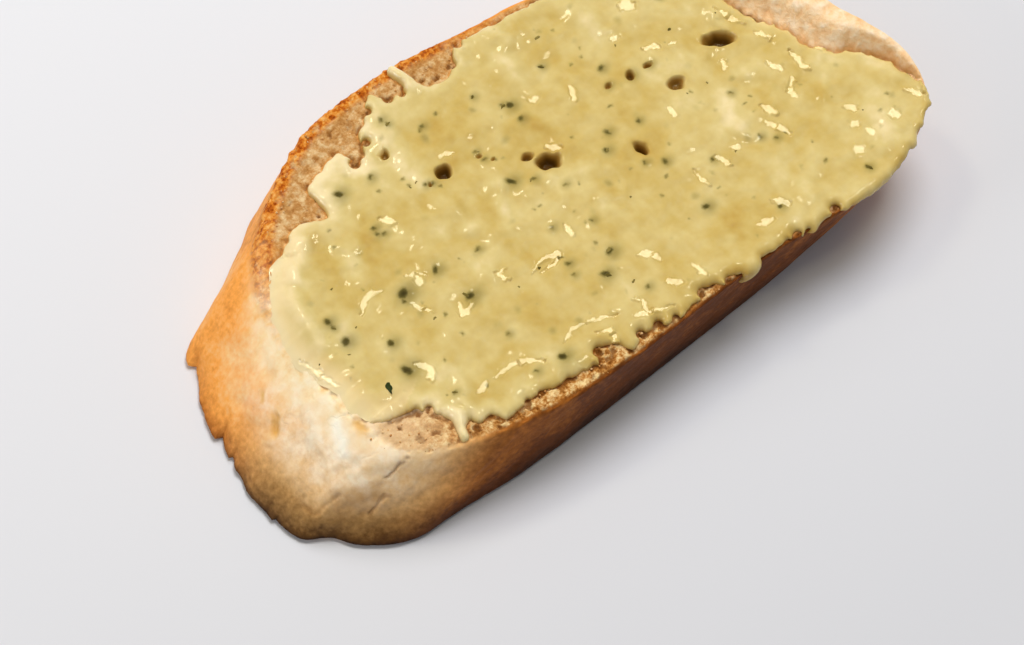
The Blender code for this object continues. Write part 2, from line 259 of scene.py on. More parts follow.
def makeField():
    x, y = np.tile(gridX, len(gridY)), np.repeat(gridY, len(gridX))
    turn, inset = placeOf(x, y)
    field = inset - insetAt(turn)
    calm = 1 - 0.75 * hump(turn, 0.495, 0.05, 4)
    near = np.abs(field) < 2.5
    wobble = 0.42 * ripple(x[near], y[near], 0.0, 2.4, 3) + 0.20 * ripple(x[near], y[near], 7.0, 0.9, 2)
    field[near] += wobble * calm[near]
    for row in spread["fingers"]:
        field = blendedMax(field, row[4] - fromLine(x, y, row[:4])[2], 0.5)
    for bx, by, radius in spread["bites"]:
        field = -blendedMax(-field, radius - np.hypot(x - bx, y - by), 0.25)
    return field.reshape(len(gridY), len(gridX))


butterField = makeField()


def insideButter(x, y):
    column = np.clip((x - gridX[0]) / gridStep, 0, len(gridX) - 1.001)
    row = np.clip((y - gridY[0]) / gridStep, 0, len(gridY) - 1.001)
    i, j = row.astype(int), column.astype(int)
    up, across = row - i, column - j
    low = butterField[i, j] * (1 - across) + butterField[i, j + 1] * across
    high = butterField[i + 1, j] * (1 - across) + butterField[i + 1, j + 1] * across
    return low * (1 - up) + high * up


def traceEdge(pace):
    # the longest zero line of the field, butter on its left, with points this many mm apart
    field = butterField.ravel()
    ids = np.arange(len(field)).reshape(butterField.shape)
    a, b, c, d = ids[:-1, :-1].ravel(), ids[:-1, 1:].ravel(), ids[1:, 1:].ravel(), ids[1:, :-1].ravel()
    triangles = np.concatenate([np.stack([a, b, c], axis=1), np.stack([a, c, d], axis=1)])
    inside = field[triangles] > 0
    follow = {}
    for triangle in triangles[inside.any(axis=1) & ~inside.all(axis=1)].tolist():
        signs = [field[corner] > 0 for corner in triangle]
        odd = next(k for k in range(3) if signs[k] != signs[k - 1] and signs[k] != signs[k - 2])
        p, q, r = triangle[odd], triangle[(odd + 1) % 3], triangle[(odd + 2) % 3]
        first, second = (min(p, q), max(p, q)), (min(p, r), max(p, r))
        if signs[odd]:
            follow[first] = second
        else:
            follow[second] = first
    longest = []
    while follow:
        start, here = follow.popitem()
        chain = [start, here]
        while here in follow:
            here = follow.pop(here)
            chain.append(here)
        if len(chain) > len(longest):
            longest = chain
    pairs = np.array(longest[:-1])
    share = (field[pairs[:, 0]] / (field[pairs[:, 0]] - field[pairs[:, 1]]))[:, None]
    corners = np.stack([gridX[pairs % len(gridX)], gridY[pairs // len(gridX)]], axis=2)
    points = corners[:, 0] * (1 - share) + corners[:, 1] * share
    for _ in range(2):
        points = 0.5 * points + 0.25 * (np.roll(points, 1, axis=0) + np.roll(points, -1, axis=0))
    steps = np.linalg.norm(np.roll(points, -1, axis=0) - points, axis=1)
    along = np.concatenate([[0], np.cumsum(steps)])
    closed = np.concatenate([points, points[:1]])
    even = np.arange(int(along[-1] / pace)) * along[-1] / int(along[-1] / pace)
    return np.stack([np.interp(even, along, closed[:, i]) for i in (0, 1)], axis=1)


butterLoop = traceEdge(0.27)
print("butter's edge:", len(butterLoop), "points")


def faceHeight(turn, inset, x, y):
    # the cut face without its pores: sunk in the middle, raised in the torn lip
    at, width, power = loaf["lip"]
    reach = np.maximum(insetAt(turn), 1.2)
    lip = loaf["lipHeight"] * hump(turn, at, width, power) * smooth(1.6 * (1 - inset / reach))
    return (
        loaf["thickness"]
        - loaf["dish"] * smooth(inset / loaf["dishWidth"])
        + 0.35 * ripple(x, y, 0.0, 4.5)
        + lip
    )


def wallPoints(turn, share):
    # the crust between the faces; share is 1 at the top
    rim, normal = rimAt(turn), normalAt(turn)
    bulge = (loaf["bulge"] + humps(turn, loaf["bulges"])) * np.sin(math.pi * share)
    out = bulge - humps(turn, loaf["leans"] + loaf["overhangs"]) * (1 - share)
    height = loaf["thickness"] * share
    torn = np.zeros(len(turn))
    for at, depth in loaf["torn"]:
        torn = np.maximum(torn, depth * (1 - ((turn - at) % 1.0) / loaf["tornLength"]))
    out = out - torn * smooth(1 - height / loaf["tornHeight"])
    flat = rim + normal * out[:, None]
    fade = np.sqrt(np.sin(math.pi * np.clip(share, 0, 1)))
    rough = 0.22 + 0.35 * hump(turn, *loaf["roughEnd"])
    rough = rough * ripple(flat[:, 0], flat[:, 1], height, 6.0) * fade
    flat = flat + normal * rough[:, None]
    edge = faceHeight(turn, np.zeros(len(turn)), rim[:, 0], rim[:, 1])
    lifted = height + (edge - loaf["thickness"]) * smooth((share - 0.55) / 0.45)
    return np.stack([flat[:, 0] - loaf["biasShift"] * (1 - share), flat[:, 1], lifted], axis=1)


def edgeRound(turn):
    # mm over which the face bends down into the wall
    return 0.8 + 3.6 * hump(turn, *loaf["heel"])


def surfacePoints(turn, inset, x, y):
    # face, rounded edge and upper wall as one surface; inset is negative down the wall
    rounding = edgeRound(turn)
    rim, normal = rimAt(turn), normalAt(turn)
    slope = 1 / np.sqrt(1 + (loaf["biasShift"] / loaf["thickness"] * normal[:, 0]) ** 2)
    face = np.stack([x, y, faceHeight(turn, np.maximum(inset, 0), x, y)], axis=1)
    start = rim - normal * rounding[:, None]
    first = np.stack([start[:, 0], start[:, 1], faceHeight(turn, rounding, start[:, 0], start[:, 1])], axis=1)
    corner = np.stack([rim[:, 0], rim[:, 1], faceHeight(turn, 0 * inset, rim[:, 0], rim[:, 1])], axis=1)
    lowest = np.minimum(inset, -rounding)
    last = wallPoints(turn, 1 + lowest * slope / loaf["thickness"])
    bend = np.clip((rounding - inset) / (2 * rounding), 0, 1)[:, None]
    curve = (1 - bend) ** 2 * first + 2 * bend * (1 - bend) * corner + bend**2 * last
    # the relief of the face runs on over the curve
    return np.where((inset < rounding)[:, None], curve, face)


def surfaceNormals(turn, inset):
    # outwards from the smooth form, without its relief
    rounding = edgeRound(turn)
    normal = normalAt(turn)
    lean = -loaf["biasShift"] / loaf["thickness"] * normal[:, 0]
    wall = np.stack([normal[:, 0], normal[:, 1], lean], axis=1)
    wall = wall / np.linalg.norm(wall, axis=1)[:, None]
    bend = smooth((rounding - inset) / (2 * rounding))[:, None]
    mixed = bend * wall + (1 - bend) * np.array([0.0, 0.0, 1.0])
    return mixed / np.linalg.norm(mixed, axis=1)[:, None]


# helpers for meshes
def hexGrid(spacing):
    # places this many mm apart over the whole slice and a little past it
    row = spacing * math.sqrt(3) / 2
    ys = np.arange(-24.0, 54.0, row)
    xs = np.arange(-60.0, 60.0, spacing)
    shifted = xs[None, :] + 0.5 * spacing * (np.arange(len(ys)) % 2)[:, None]
    return shifted.ravel(), np.repeat(ys, len(xs))


def planMesh(loop, x, y):
    # triangles inside a closed loop that use every loop point and the points given
    points = [Vector(p) for p in loop] + [Vector(p) for p in zip(x, y)]
    edges = [(i, (i + 1) % len(loop)) for i in range(len(loop))]
    found = delaunay_2d_cdt(points, edges, [], 1, 1e-6)
    order = np.full(len(points), -1)
    for i, sources in enumerate(found[3]):
        for source in sources:
            order[source] = i
    return np.array(found[0]), np.array(found[2]), order[: len(loop)]


def addMesh(name, points, faces, material, attributes=None):
    # points are mm in the outline's frame
    placed = (np.asarray(points) + (*loaf["middle"], 0.0)) * mm
    mesh = bpy.data.meshes.new(name)
    mesh.from_pydata(placed.tolist(), [], [list(map(int, face)) for face in faces])
    mesh.materials.append(material)
    for label, values in (attributes or {}).items():
        layer = mesh.attributes.new(label, "FLOAT", "POINT")
        layer.data.foreach_set("value", np.asarray(values, dtype=np.float32))
    mesh.shade_smooth()
    mesh.update()
    piece = bpy.data.objects.new(name, mesh)
    bpy.context.scene.collection.objects.link(piece)
    return piece


def bandFaces(upper, lower):
    # four-sided faces between two closed rows of points
    after = np.roll(np.arange(len(upper)), -1)
    return np.stack([upper, lower, lower[after], upper[after]], axis=1)


def treeOf(x, y):
    tree = kdtree.KDTree(len(x))
    for i, (a, b) in enumerate(zip(x, y)):
        tree.insert((a, b, 0), i)
    tree.balance()
    return tree


def widened(rows, along, across, more=0.0):
    # pores whose half lengths and half widths are made larger
    return [(*row[:2], row[2] * along + more, row[3] * across + more, *row[4:]) for row in rows]


def stamped(tree, size, rows, profile):
    # the greatest of profile(distance as a share of the reach, row) over the rows near each point
    field = np.zeros(size)
    for row in rows:
        x, y, length, width, degrees = row[:5]
        cosine, sine = math.cos(math.radians(degrees)), math.sin(math.radians(degrees))
        near = tree.find_range((x, y, 0), max(length, width))
        if not near:
            continue
        spots = np.array([spot[0] for spot in near]) - (x, y, 0)
        along = (spots[:, 0] * cosine + spots[:, 1] * sine) / length
        across = (-spots[:, 0] * sine + spots[:, 1] * cosine) / width
        away = np.hypot(along, across)
        index = np.array([spot[1] for spot in near])
        value = np.where(away < 1, profile(np.minimum(away, 1), row), 0)
        field[index] = np.maximum(field[index], value)
    return field


# helpers for materials
def hexColour(text):
    # an sRGB hex value as the linear colour that a socket takes
    channels = [int(text[i : i + 2], 16) / 255 for i in (1, 3, 5)]
    return tuple(c / 12.92 if c < 0.04045 else ((c + 0.055) / 1.055) ** 2.4 for c in channels) + (1.0,)


def addNode(tree, kind, inputs=None, out=0, stops=(), **settings):
    # a node with its settings, links and values, and a ramp's colours; gives the output asked for
    made = tree.nodes.new("ShaderNode" + kind)
    for key, value in settings.items():
        setattr(made, key, value)
    for socket, value in (inputs or {}).items():
        if isinstance(value, bpy.types.NodeSocket):
            tree.links.new(value, made.inputs[socket])
        else:
            made.inputs[socket].default_value = hexColour(value) if isinstance(value, str) else value
    if stops:
        marks = made.color_ramp.elements
        for end in (0, -1):
            marks[end].position, marks[end].color = stops[end][0], hexColour(stops[end][1])
        for position, colour in stops[1:-1]:
            marks.new(position).color = hexColour(colour)
    return made.outputs[out] if made.outputs else made


def varied(tree, level, pattern, swing):
    # a level moved up and down by a pattern
    moved = addNode(tree, "Math", {0: pattern, 1: swing, 2: -swing / 2}, operation="MULTIPLY_ADD")
    return addNode(tree, "Math", {0: level, 1: moved}, operation="ADD")


def layered(tree, colour, layers):
    # colours laid over one another, each where its pattern shows and at its own strength
    for pattern, strength, tone in layers:
        share = addNode(tree, "Math", {0: pattern, 1: strength}, operation="MULTIPLY")
        # its colours are inputs 6 and 7 and output 2
        colour = addNode(tree, "Mix", {0: share, 6: colour, 7: tone}, out=2, data_type="RGBA")
    return colour


def newMaterial(name):
    material = bpy.data.materials.new(name)
    material.use_nodes = True
    material.node_tree.nodes.clear()
    return material, material.node_tree


# open pores, in the butter and in the bread under it
pores = (  # x, y, half length, half width, degrees, depth
    (33.9, 16.1, 2.6, 1.35, -32, 3.0),
    (23.2, 14.4, 1.45, 1.15, -10, 1.9),
    (18.6, 20.1, 0.95, 0.75, 60, 1.9),
    (11.2, 9.1, 1.45, 0.85, 95, 2.4),
    (-3.5, 19.5, 0.9, 0.75, 0, 1.8),
    (-1.4, 16.7, 2.0, 1.4, -30, 3.2),
    (-15.2, 25.8, 1.3, 1.2, 0, 2.8),
    (22.1, 19.8, 0.8, 0.6, 0, 1.5),
    (14.8, 21.0, 0.5, 0.45, 0, 1.2),
    (-20.3, 34.1, 0.9, 0.7, 20, 1.5),
    (41.2, 16.6, 0.8, 0.6, 0, 1.4),
    (-18.4, 25.4, 0.45, 0.4, 0, 1.1),
    (-9.0, 24.4, 0.4, 0.35, 0, 1.0),
    (-7.8, 22.6, 0.4, 0.35, 0, 0.9),
)


# the bread
bread = {
    "rimSteps": 1180,
    "fine": 0.27,  # mesh spacing on bare crumb
    "coarse": 1.4,  # and under the butter
    "edgeRows": 8,
    "wallRows": 46,
    "wallFoot": 0.04,  # share of the height where the chamfer of the foot starts
    "foot": 0.6,
    "under": 2.2,  # mesh spacing of the flat underside
    "pores": 64,
    "poreSize": (0.14, 0.50),
    "seed": 11,
    "stretches": {  # of the rim, by turn: middle, half width, power
        "tornOpen": (0.690, 0.095, 4),
        "pocket": (0.598, 0.024, 4),
        "smoothHeel": (0.500, 0.050, 4),
        "flaky": (0.555, 0.075, 4),
        "ragged": (0.490, 0.055, 4),
        "charred": (0.355, 0.110, 4),
        # the heel's foot: browner crust, also painted darker as painted shade where it meets the floor
        "darkFootAndShade": (0.570, 0.090, 4),
        "toast": (0.355, 0.115, 4),
        "flour": (0.556, 0.057, 4),
        "lipFlour": (0.050, 0.090, 4),
        # near the butter's edge at the heel: butter-soaked crust, painted paler as a painted sheen
        "greaseAndPaintedSheen": (0.512, 0.075, 4),
        "lip": (0.048, 0.108, 4),
        "golden": (0.710, 0.100, 4),
        "dusky": (0.578, 0.062, 4),
        "sheen": (0.530, 0.065, 4),
    },
    "bake": (  # how dark the crust is baked: turn, then at the foot, the middle and the top of the wall
        (0.00, 0.45, 0.30, 0.24),
        (0.08, 0.40, 0.25, 0.14),
        (0.16, 0.45, 0.35, 0.25),
        (0.25, 0.60, 0.50, 0.42),
        (0.34, 0.40, 0.38, 0.38),
        (0.40, 0.38, 0.35, 0.35),
        (0.45, 0.40, 0.34, 0.34),
        (0.50, 0.54, 0.22, 0.14),
        (0.55, 0.76, 0.40, 0.06),
        (0.59, 0.86, 0.40, 0.20),
        (0.62, 0.86, 0.44, 0.38),
        (0.66, 0.90, 0.60, 0.66),
        (0.72, 1.00, 0.74, 0.74),
        (0.80, 1.00, 0.78, 0.76),
        (0.88, 0.92, 0.76, 0.68),
        (0.94, 0.70, 0.50, 0.42),
    ),
    "marks": {  # of the heel: half width, depth and a path of x, y, z
        # creases, pressed in and painted darker as painted shade in the folds
        "creaseAndShade": (
            (0.55, 0.30, ((-65.2, -0.6, 4.7), (-65.0, -2.7, 4.6), (-62.2, -3.5, 7.0), (-60.7, -3.9, 8.1))),
            (0.60, 0.45, ((-58.5, -8.5, 5.7), (-57.2, -8.8, 7.3), (-55.7, -9.1, 8.5))),
            (2.60, 0.25, ((-61.8, -4.6, 6.4), (-59.4, -6.6, 7.2), (-57.4, -8.0, 7.8))),
            (0.55, 0.35, ((-54.7, -7.3, 11.3), (-53.0, -7.9, 12.4), (-50.7, -8.4, 14.2))),
        ),
        "amber": (
            (1.1, 0.40, ((-60.2, 12.2, 9.4), (-61.5, 10.5, 8.2))),
            (1.1, 0.40, ((-52.8, 1.0, 14.5), (-53.1, -0.6, 14.2))),
            (0.6, 0.10, ((-59.3, 16.6, 9.7), (-60.0, 15.7, 9.3))),
        ),
        # a raised flake, painted near white as a painted highlight
        "paleFlakeAndHighlight": ((1.5, -0.12, ((-55.2, 3.2, 13.5), (-56.0, 1.3, 13.0), (-56.9, -0.6, 12.2))),),
    },
    "patterns": {  # size in mm, detail, roughness
        "broad": (7.0, 4.0, 0.55),
        "fine": (0.9, 4.0, 0.55),
        "grain": (0.35, 3.0, 0.60),
        "hairlines": (5.0, 2.0, 0.55),
        "dusting": (3.2, 5.0, 0.62),
        "soaking": (2.6, 3.0, 0.55),
        "webs": (1.3, 5.0, 0.62),
        "toasting": (1.4, 5.0, 0.65),
        "wrinkles": (1.9, 4.0, 0.60),
    },
    "crackSize": 4.2,
    "crackWarp": (3.0, 4.0),  # size of the bends and how far they bend
    "crust": (
        (0.0, "#FFEAC4"),
        (0.15, "#FFD294"),
        (0.35, "#FBA84E"),
        (0.55, "#BC7029"),
        (0.75, "#733C11"),
        (1.0, "#3D1B05"),
    ),
    "heelCrust": (  # browner and less orange
        (0.0, "#FFEACB"),
        (0.2, "#F6D5A0"),
        (0.4, "#DFB274"),
        (0.6, "#AC824C"),
        (0.8, "#6A4822"),
        (1.0, "#361E0A"),
    ),
    # butter-soaked crust; its pale tones are a painted sheen
    "soakedAndPaintedSheen": ((0.34, "#EEC07A"), (0.46, "#F9DDA8"), (0.60, "#FEEECB")),
    "web": ((0.34, "#A66E34"), (0.48, "#C8955A"), (0.64, "#E6C694")),
    "richWeb": ((0.36, "#74400F"), (0.47, "#BE8240"), (0.60, "#F2D498")),
    "toasted": ((0.30, "#7E3606"), (0.42, "#B85A14"), (0.53, "#DC882E"), (0.68, "#F0B668")),
    "peach": ((0.32, "#F0BE88"), (0.48, "#FAD4A4"), (0.64, "#FFE6C6")),
}

butterLoopTree = treeOf(butterLoop[:, 0], butterLoop[:, 1])


def fromButter(x, y):
    # mm to the butter's edge
    return np.fromiter((butterLoopTree.find((a, b, 0))[2] for a, b in zip(x, y)), float, len(x))


def fromPath(points, path):
    # mm from points to a bent line in space
    found = np.full(len(points), 99.0)
    for a, b in zip(np.array(path[:-1]), np.array(path[1:])):
        share = np.clip((points - a) @ (b - a) / ((b - a) @ (b - a)), 0, 1)
        found = np.minimum(found, np.linalg.norm(points - a - share[:, None] * (b - a), axis=1))
    return found


def terraced(value, steps):
    # flat flakes with short edges between them
    scaled = value * steps
    level = np.floor(scaled)
    return (level + smooth((scaled - level - 0.75) / 0.25)) / steps


def breadMaterial(names):
    # wheat bread, oven baked and toasted: a dull crust from floury cream to dark brown,
    # and torn crumb with pale webs, tan between them, and pores painted brown as painted shade
    material, tree = newMaterial("baked_crust_and_crumb")
    where = addNode(tree, "TexCoord", out="Object")
    on = {name: addNode(tree, "Attribute", out="Fac", attribute_name=name) for name in names}
    pattern = {}
    for name, (size, detail, rough) in bread["patterns"].items():
        inputs = {"Vector": where, "Scale": 1 / (size * mm), "Detail": detail, "Roughness": rough}
        pattern[name] = addNode(tree, "TexNoise", inputs)
    # how dark the crust is baked, mottled broadly and finely
    baked = varied(tree, varied(tree, on["bake"], pattern["broad"], 0.38), pattern["fine"], 0.32)
    crust = addNode(tree, "ValToRGB", {"Fac": baked}, stops=bread["crust"])
    heelCrust = addNode(tree, "ValToRGB", {"Fac": baked}, stops=bread["heelCrust"])
    # pale floury skin in soft patches, with a few hairline cracks
    bends, bend = (length * mm for length in bread["crackWarp"])
    warp = addNode(tree, "TexNoise", {"Vector": where, "Scale": 1 / bends, "Detail": 2.0}, out="Color")
    bent = addNode(tree, "VectorMath", {0: warp, 1: (bend, bend, bend), 2: where}, operation="MULTIPLY_ADD")
    inputs = {"Vector": bent, "Scale": 1 / (bread["crackSize"] * mm)}
    edge = addNode(tree, "TexVoronoi", inputs, out="Distance", feature="DISTANCE_TO_EDGE")
    crack = addNode(tree, "MapRange", {"Value": edge, "From Max": 0.07, "To Min": 1.0, "To Max": 0.0})
    few = addNode(tree, "MapRange", {"Value": pattern["hairlines"], "From Min": 0.52, "From Max": 0.66})
    for share in (few, on["flour"]):
        crack = addNode(tree, "Math", {0: crack, 1: share}, operation="MULTIPLY")
    patches = addNode(tree, "MapRange", {"Value": pattern["dusting"], "From Min": 0.36, "From Max": 0.62})
    floury = addNode(tree, "Math", {0: patches, 1: 0.6, 2: 0.35}, operation="MULTIPLY_ADD")
    floury = addNode(tree, "Math", {0: on["flour"], 1: floury}, operation="MULTIPLY")
    dust = layered(tree, "#F4D2A6", ((patches, 1.0, "#FFEBCC"),))
    # crust soaked with butter close to its edge, and painted paler there as a painted sheen
    soakedAndPaintedSheen = addNode(tree, "ValToRGB", {"Fac": pattern["soaking"]}, stops=bread["soakedAndPaintedSheen"])
    # crumb: pale webs, tan between them, and pores painted darker brown with depth as painted shade
    threads = addNode(tree, "Math", {0: pattern["grain"], 1: 0.25}, operation="MULTIPLY")
    clots = addNode(tree, "Math", {0: pattern["webs"], 1: 0.75, 2: threads}, operation="MULTIPLY_ADD")
    web = addNode(tree, "ValToRGB", {"Fac": clots}, stops=bread["web"])
    richWeb = addNode(tree, "ValToRGB", {"Fac": clots}, stops=bread["richWeb"])
    crumb = layered(
        tree, web, ((on["golden"], 1.0, richWeb), (on["flour"], 0.6, "#F0CFA2"), (on["pitShadeAndSpots"], 0.8, "#7A4A1E"))
    )
    # orange toasting in specks, and the torn lip: peach and wrinkled
    specks = addNode(tree, "MapRange", {"Value": pattern["toasting"], "From Min": 0.31, "From Max": 0.46})
    toasted = addNode(tree, "ValToRGB", {"Fac": pattern["fine"]}, stops=bread["toasted"])
    peach = addNode(tree, "ValToRGB", {"Fac": pattern["wrinkles"]}, stops=bread["peach"])
    colour = layered(
        tree,
        crust,
        (
            (on["dusky"], 1.0, heelCrust),
            (floury, 1.0, dust),
            (crack, 0.10, "#B08C5A"),
            # painted sheen on the butter-soaked crust
            (on["greaseAndPaintedSheen"], 0.8, soakedAndPaintedSheen),
            # painted shade in the creases
            (on["creaseAndShade"], 0.4, "#94642F"),
            (on["amber"], 0.85, "#DFA74C"),
            # painted highlight on the heel's raised flake
            (on["paleFlakeAndHighlight"], 1.0, "#FFF6E2"),
            (on["crumb"], 1.0, crumb),
            (on["toast"], specks, toasted),
            (on["lip"], 1.0, peach),
            # painted shade in the crevice where the lip meets the butter
            (on["creviceShade"], 1.0, "#B9802F"),
        ),
    )
    dull = 0.55
    for share, change in ((on["crumb"], 0.30), (on["lip"], 0.35), (on["greaseAndPaintedSheen"], -0.22)):
        dull = addNode(tree, "Math", {0: share, 1: change, 2: dull}, operation="MULTIPLY_ADD")
    # relief too fine for the mesh: torn threads in the crumb, cracks, flakes and wrinkles of the crust
    relief = addNode(tree, "Math", {0: on["crumb"], 1: 0.45, 2: 0.2}, operation="MULTIPLY_ADD")
    relief = addNode(tree, "Math", {0: pattern["grain"], 1: relief}, operation="MULTIPLY")
    flakes = addNode(tree, "Math", {0: pattern["fine"], 1: on["toast"]}, operation="MULTIPLY")
    folds = addNode(tree, "Math", {0: pattern["wrinkles"], 1: on["lip"]}, operation="MULTIPLY")
    for share, height in ((crack, -0.25), (flakes, 1.6), (floury, 0.12), (folds, 2.2)):
        relief = addNode(tree, "Math", {0: share, 1: height, 2: relief}, operation="MULTIPLY_ADD")
    greasy = addNode(tree, "Math", {0: on["sheen"], 1: 0.8}, operation="MULTIPLY")
    shader = addNode(
        tree,
        "BsdfPrincipled",
        {
            "Base Color": colour,
            "Roughness": dull,
            "IOR": 1.45,
            "Specular IOR Level": 0.12,
            "Coat Weight": greasy,  # a film on the heel
            "Coat Roughness": 0.34,
            "Coat IOR": 1.5,
            "Subsurface Weight": 0.08,
            "Subsurface Radius": (1.0, 0.6, 0.3),
            "Subsurface Scale": 0.8 * mm,
            "Normal": addNode(tree, "Bump", {"Height": relief, "Distance": 0.25 * mm, "Strength": 0.8}),
        },
    )
    addNode(tree, "OutputMaterial", {"Surface": shader})
    return material


def breadPlan():
    # points of the face: close together where crumb is bare, far apart under the butter
    x, y = hexGrid(bread["fine"])
    keep = insideButter(x, y) < 0.9
    x, y = x[keep], y[keep]
    keep = placeOf(x, y)[1] > 0.2
    x, y = x[keep], y[keep]
    coarseX, coarseY = hexGrid(bread["coarse"])
    keep = insideButter(coarseX, coarseY) > 1.0
    keep[keep] = placeOf(coarseX[keep], coarseY[keep])[1] > 0.8
    return np.concatenate([x, coarseX[keep]]), np.concatenate([y, coarseY[keep]])


def crumbPits(x, y, turn, inset, away, bare):
    # how deep the open pores of the torn crumb are
    draw = random.Random(bread["seed"])
    rows = [(bx, by, r * 0.95, r * 0.75, 30, r) for bx, by, r in spread["bites"]]
    candidates = np.flatnonzero((bare > 0.9) & (inset > 0.35) & ((x > -43) | (y > 8)))
    smallest, largest = bread["poreSize"]
    for _ in range(bread["pores"]):
        spot = candidates[draw.randrange(len(candidates))]
        size = smallest + (largest - smallest) * draw.random() ** 2.6
        rows.append((x[spot], y[spot], size * draw.uniform(1.0, 2.2), size, draw.uniform(0, 180), size))
    warpX, warpY = x + 0.6 * ripple(x, y, 50.0, 1.3, 2), y + 0.6 * ripple(x, y, 70.0, 1.3, 2)
    pits = stamped(treeOf(warpX, warpY), len(x), rows, lambda off, row: smooth(1.5 * (1 - off)) * row[5])
    # the long lower side is torn more open
    tornOpen = hump(turn, *bread["stretches"]["tornOpen"])
    holes = smooth((ripple(warpX, warpY, 90.0, 1.8, 3) - 0.26 + 0.20 * tornOpen) / 0.5)
    pits = np.maximum(pits, (0.30 + 0.20 * tornOpen) * holes)
    # deeper pockets under the butter's edge, painted darker as painted shade, and more of them at the heel
    pockets = smooth((ripple(warpX, warpY, 130.0, 1.7, 2) + 0.12) / 0.3) * smooth(1 - away / 1.1)
    pits = np.maximum(pits, 0.6 * pockets)
    pockets = smooth((ripple(warpX, warpY, 110.0, 1.2, 2) + 0.40) / 0.3) * smooth(1 - away / 1.7)
    return np.maximum(pits, 0.7 * pockets * hump(turn, *bread["stretches"]["pocket"]))


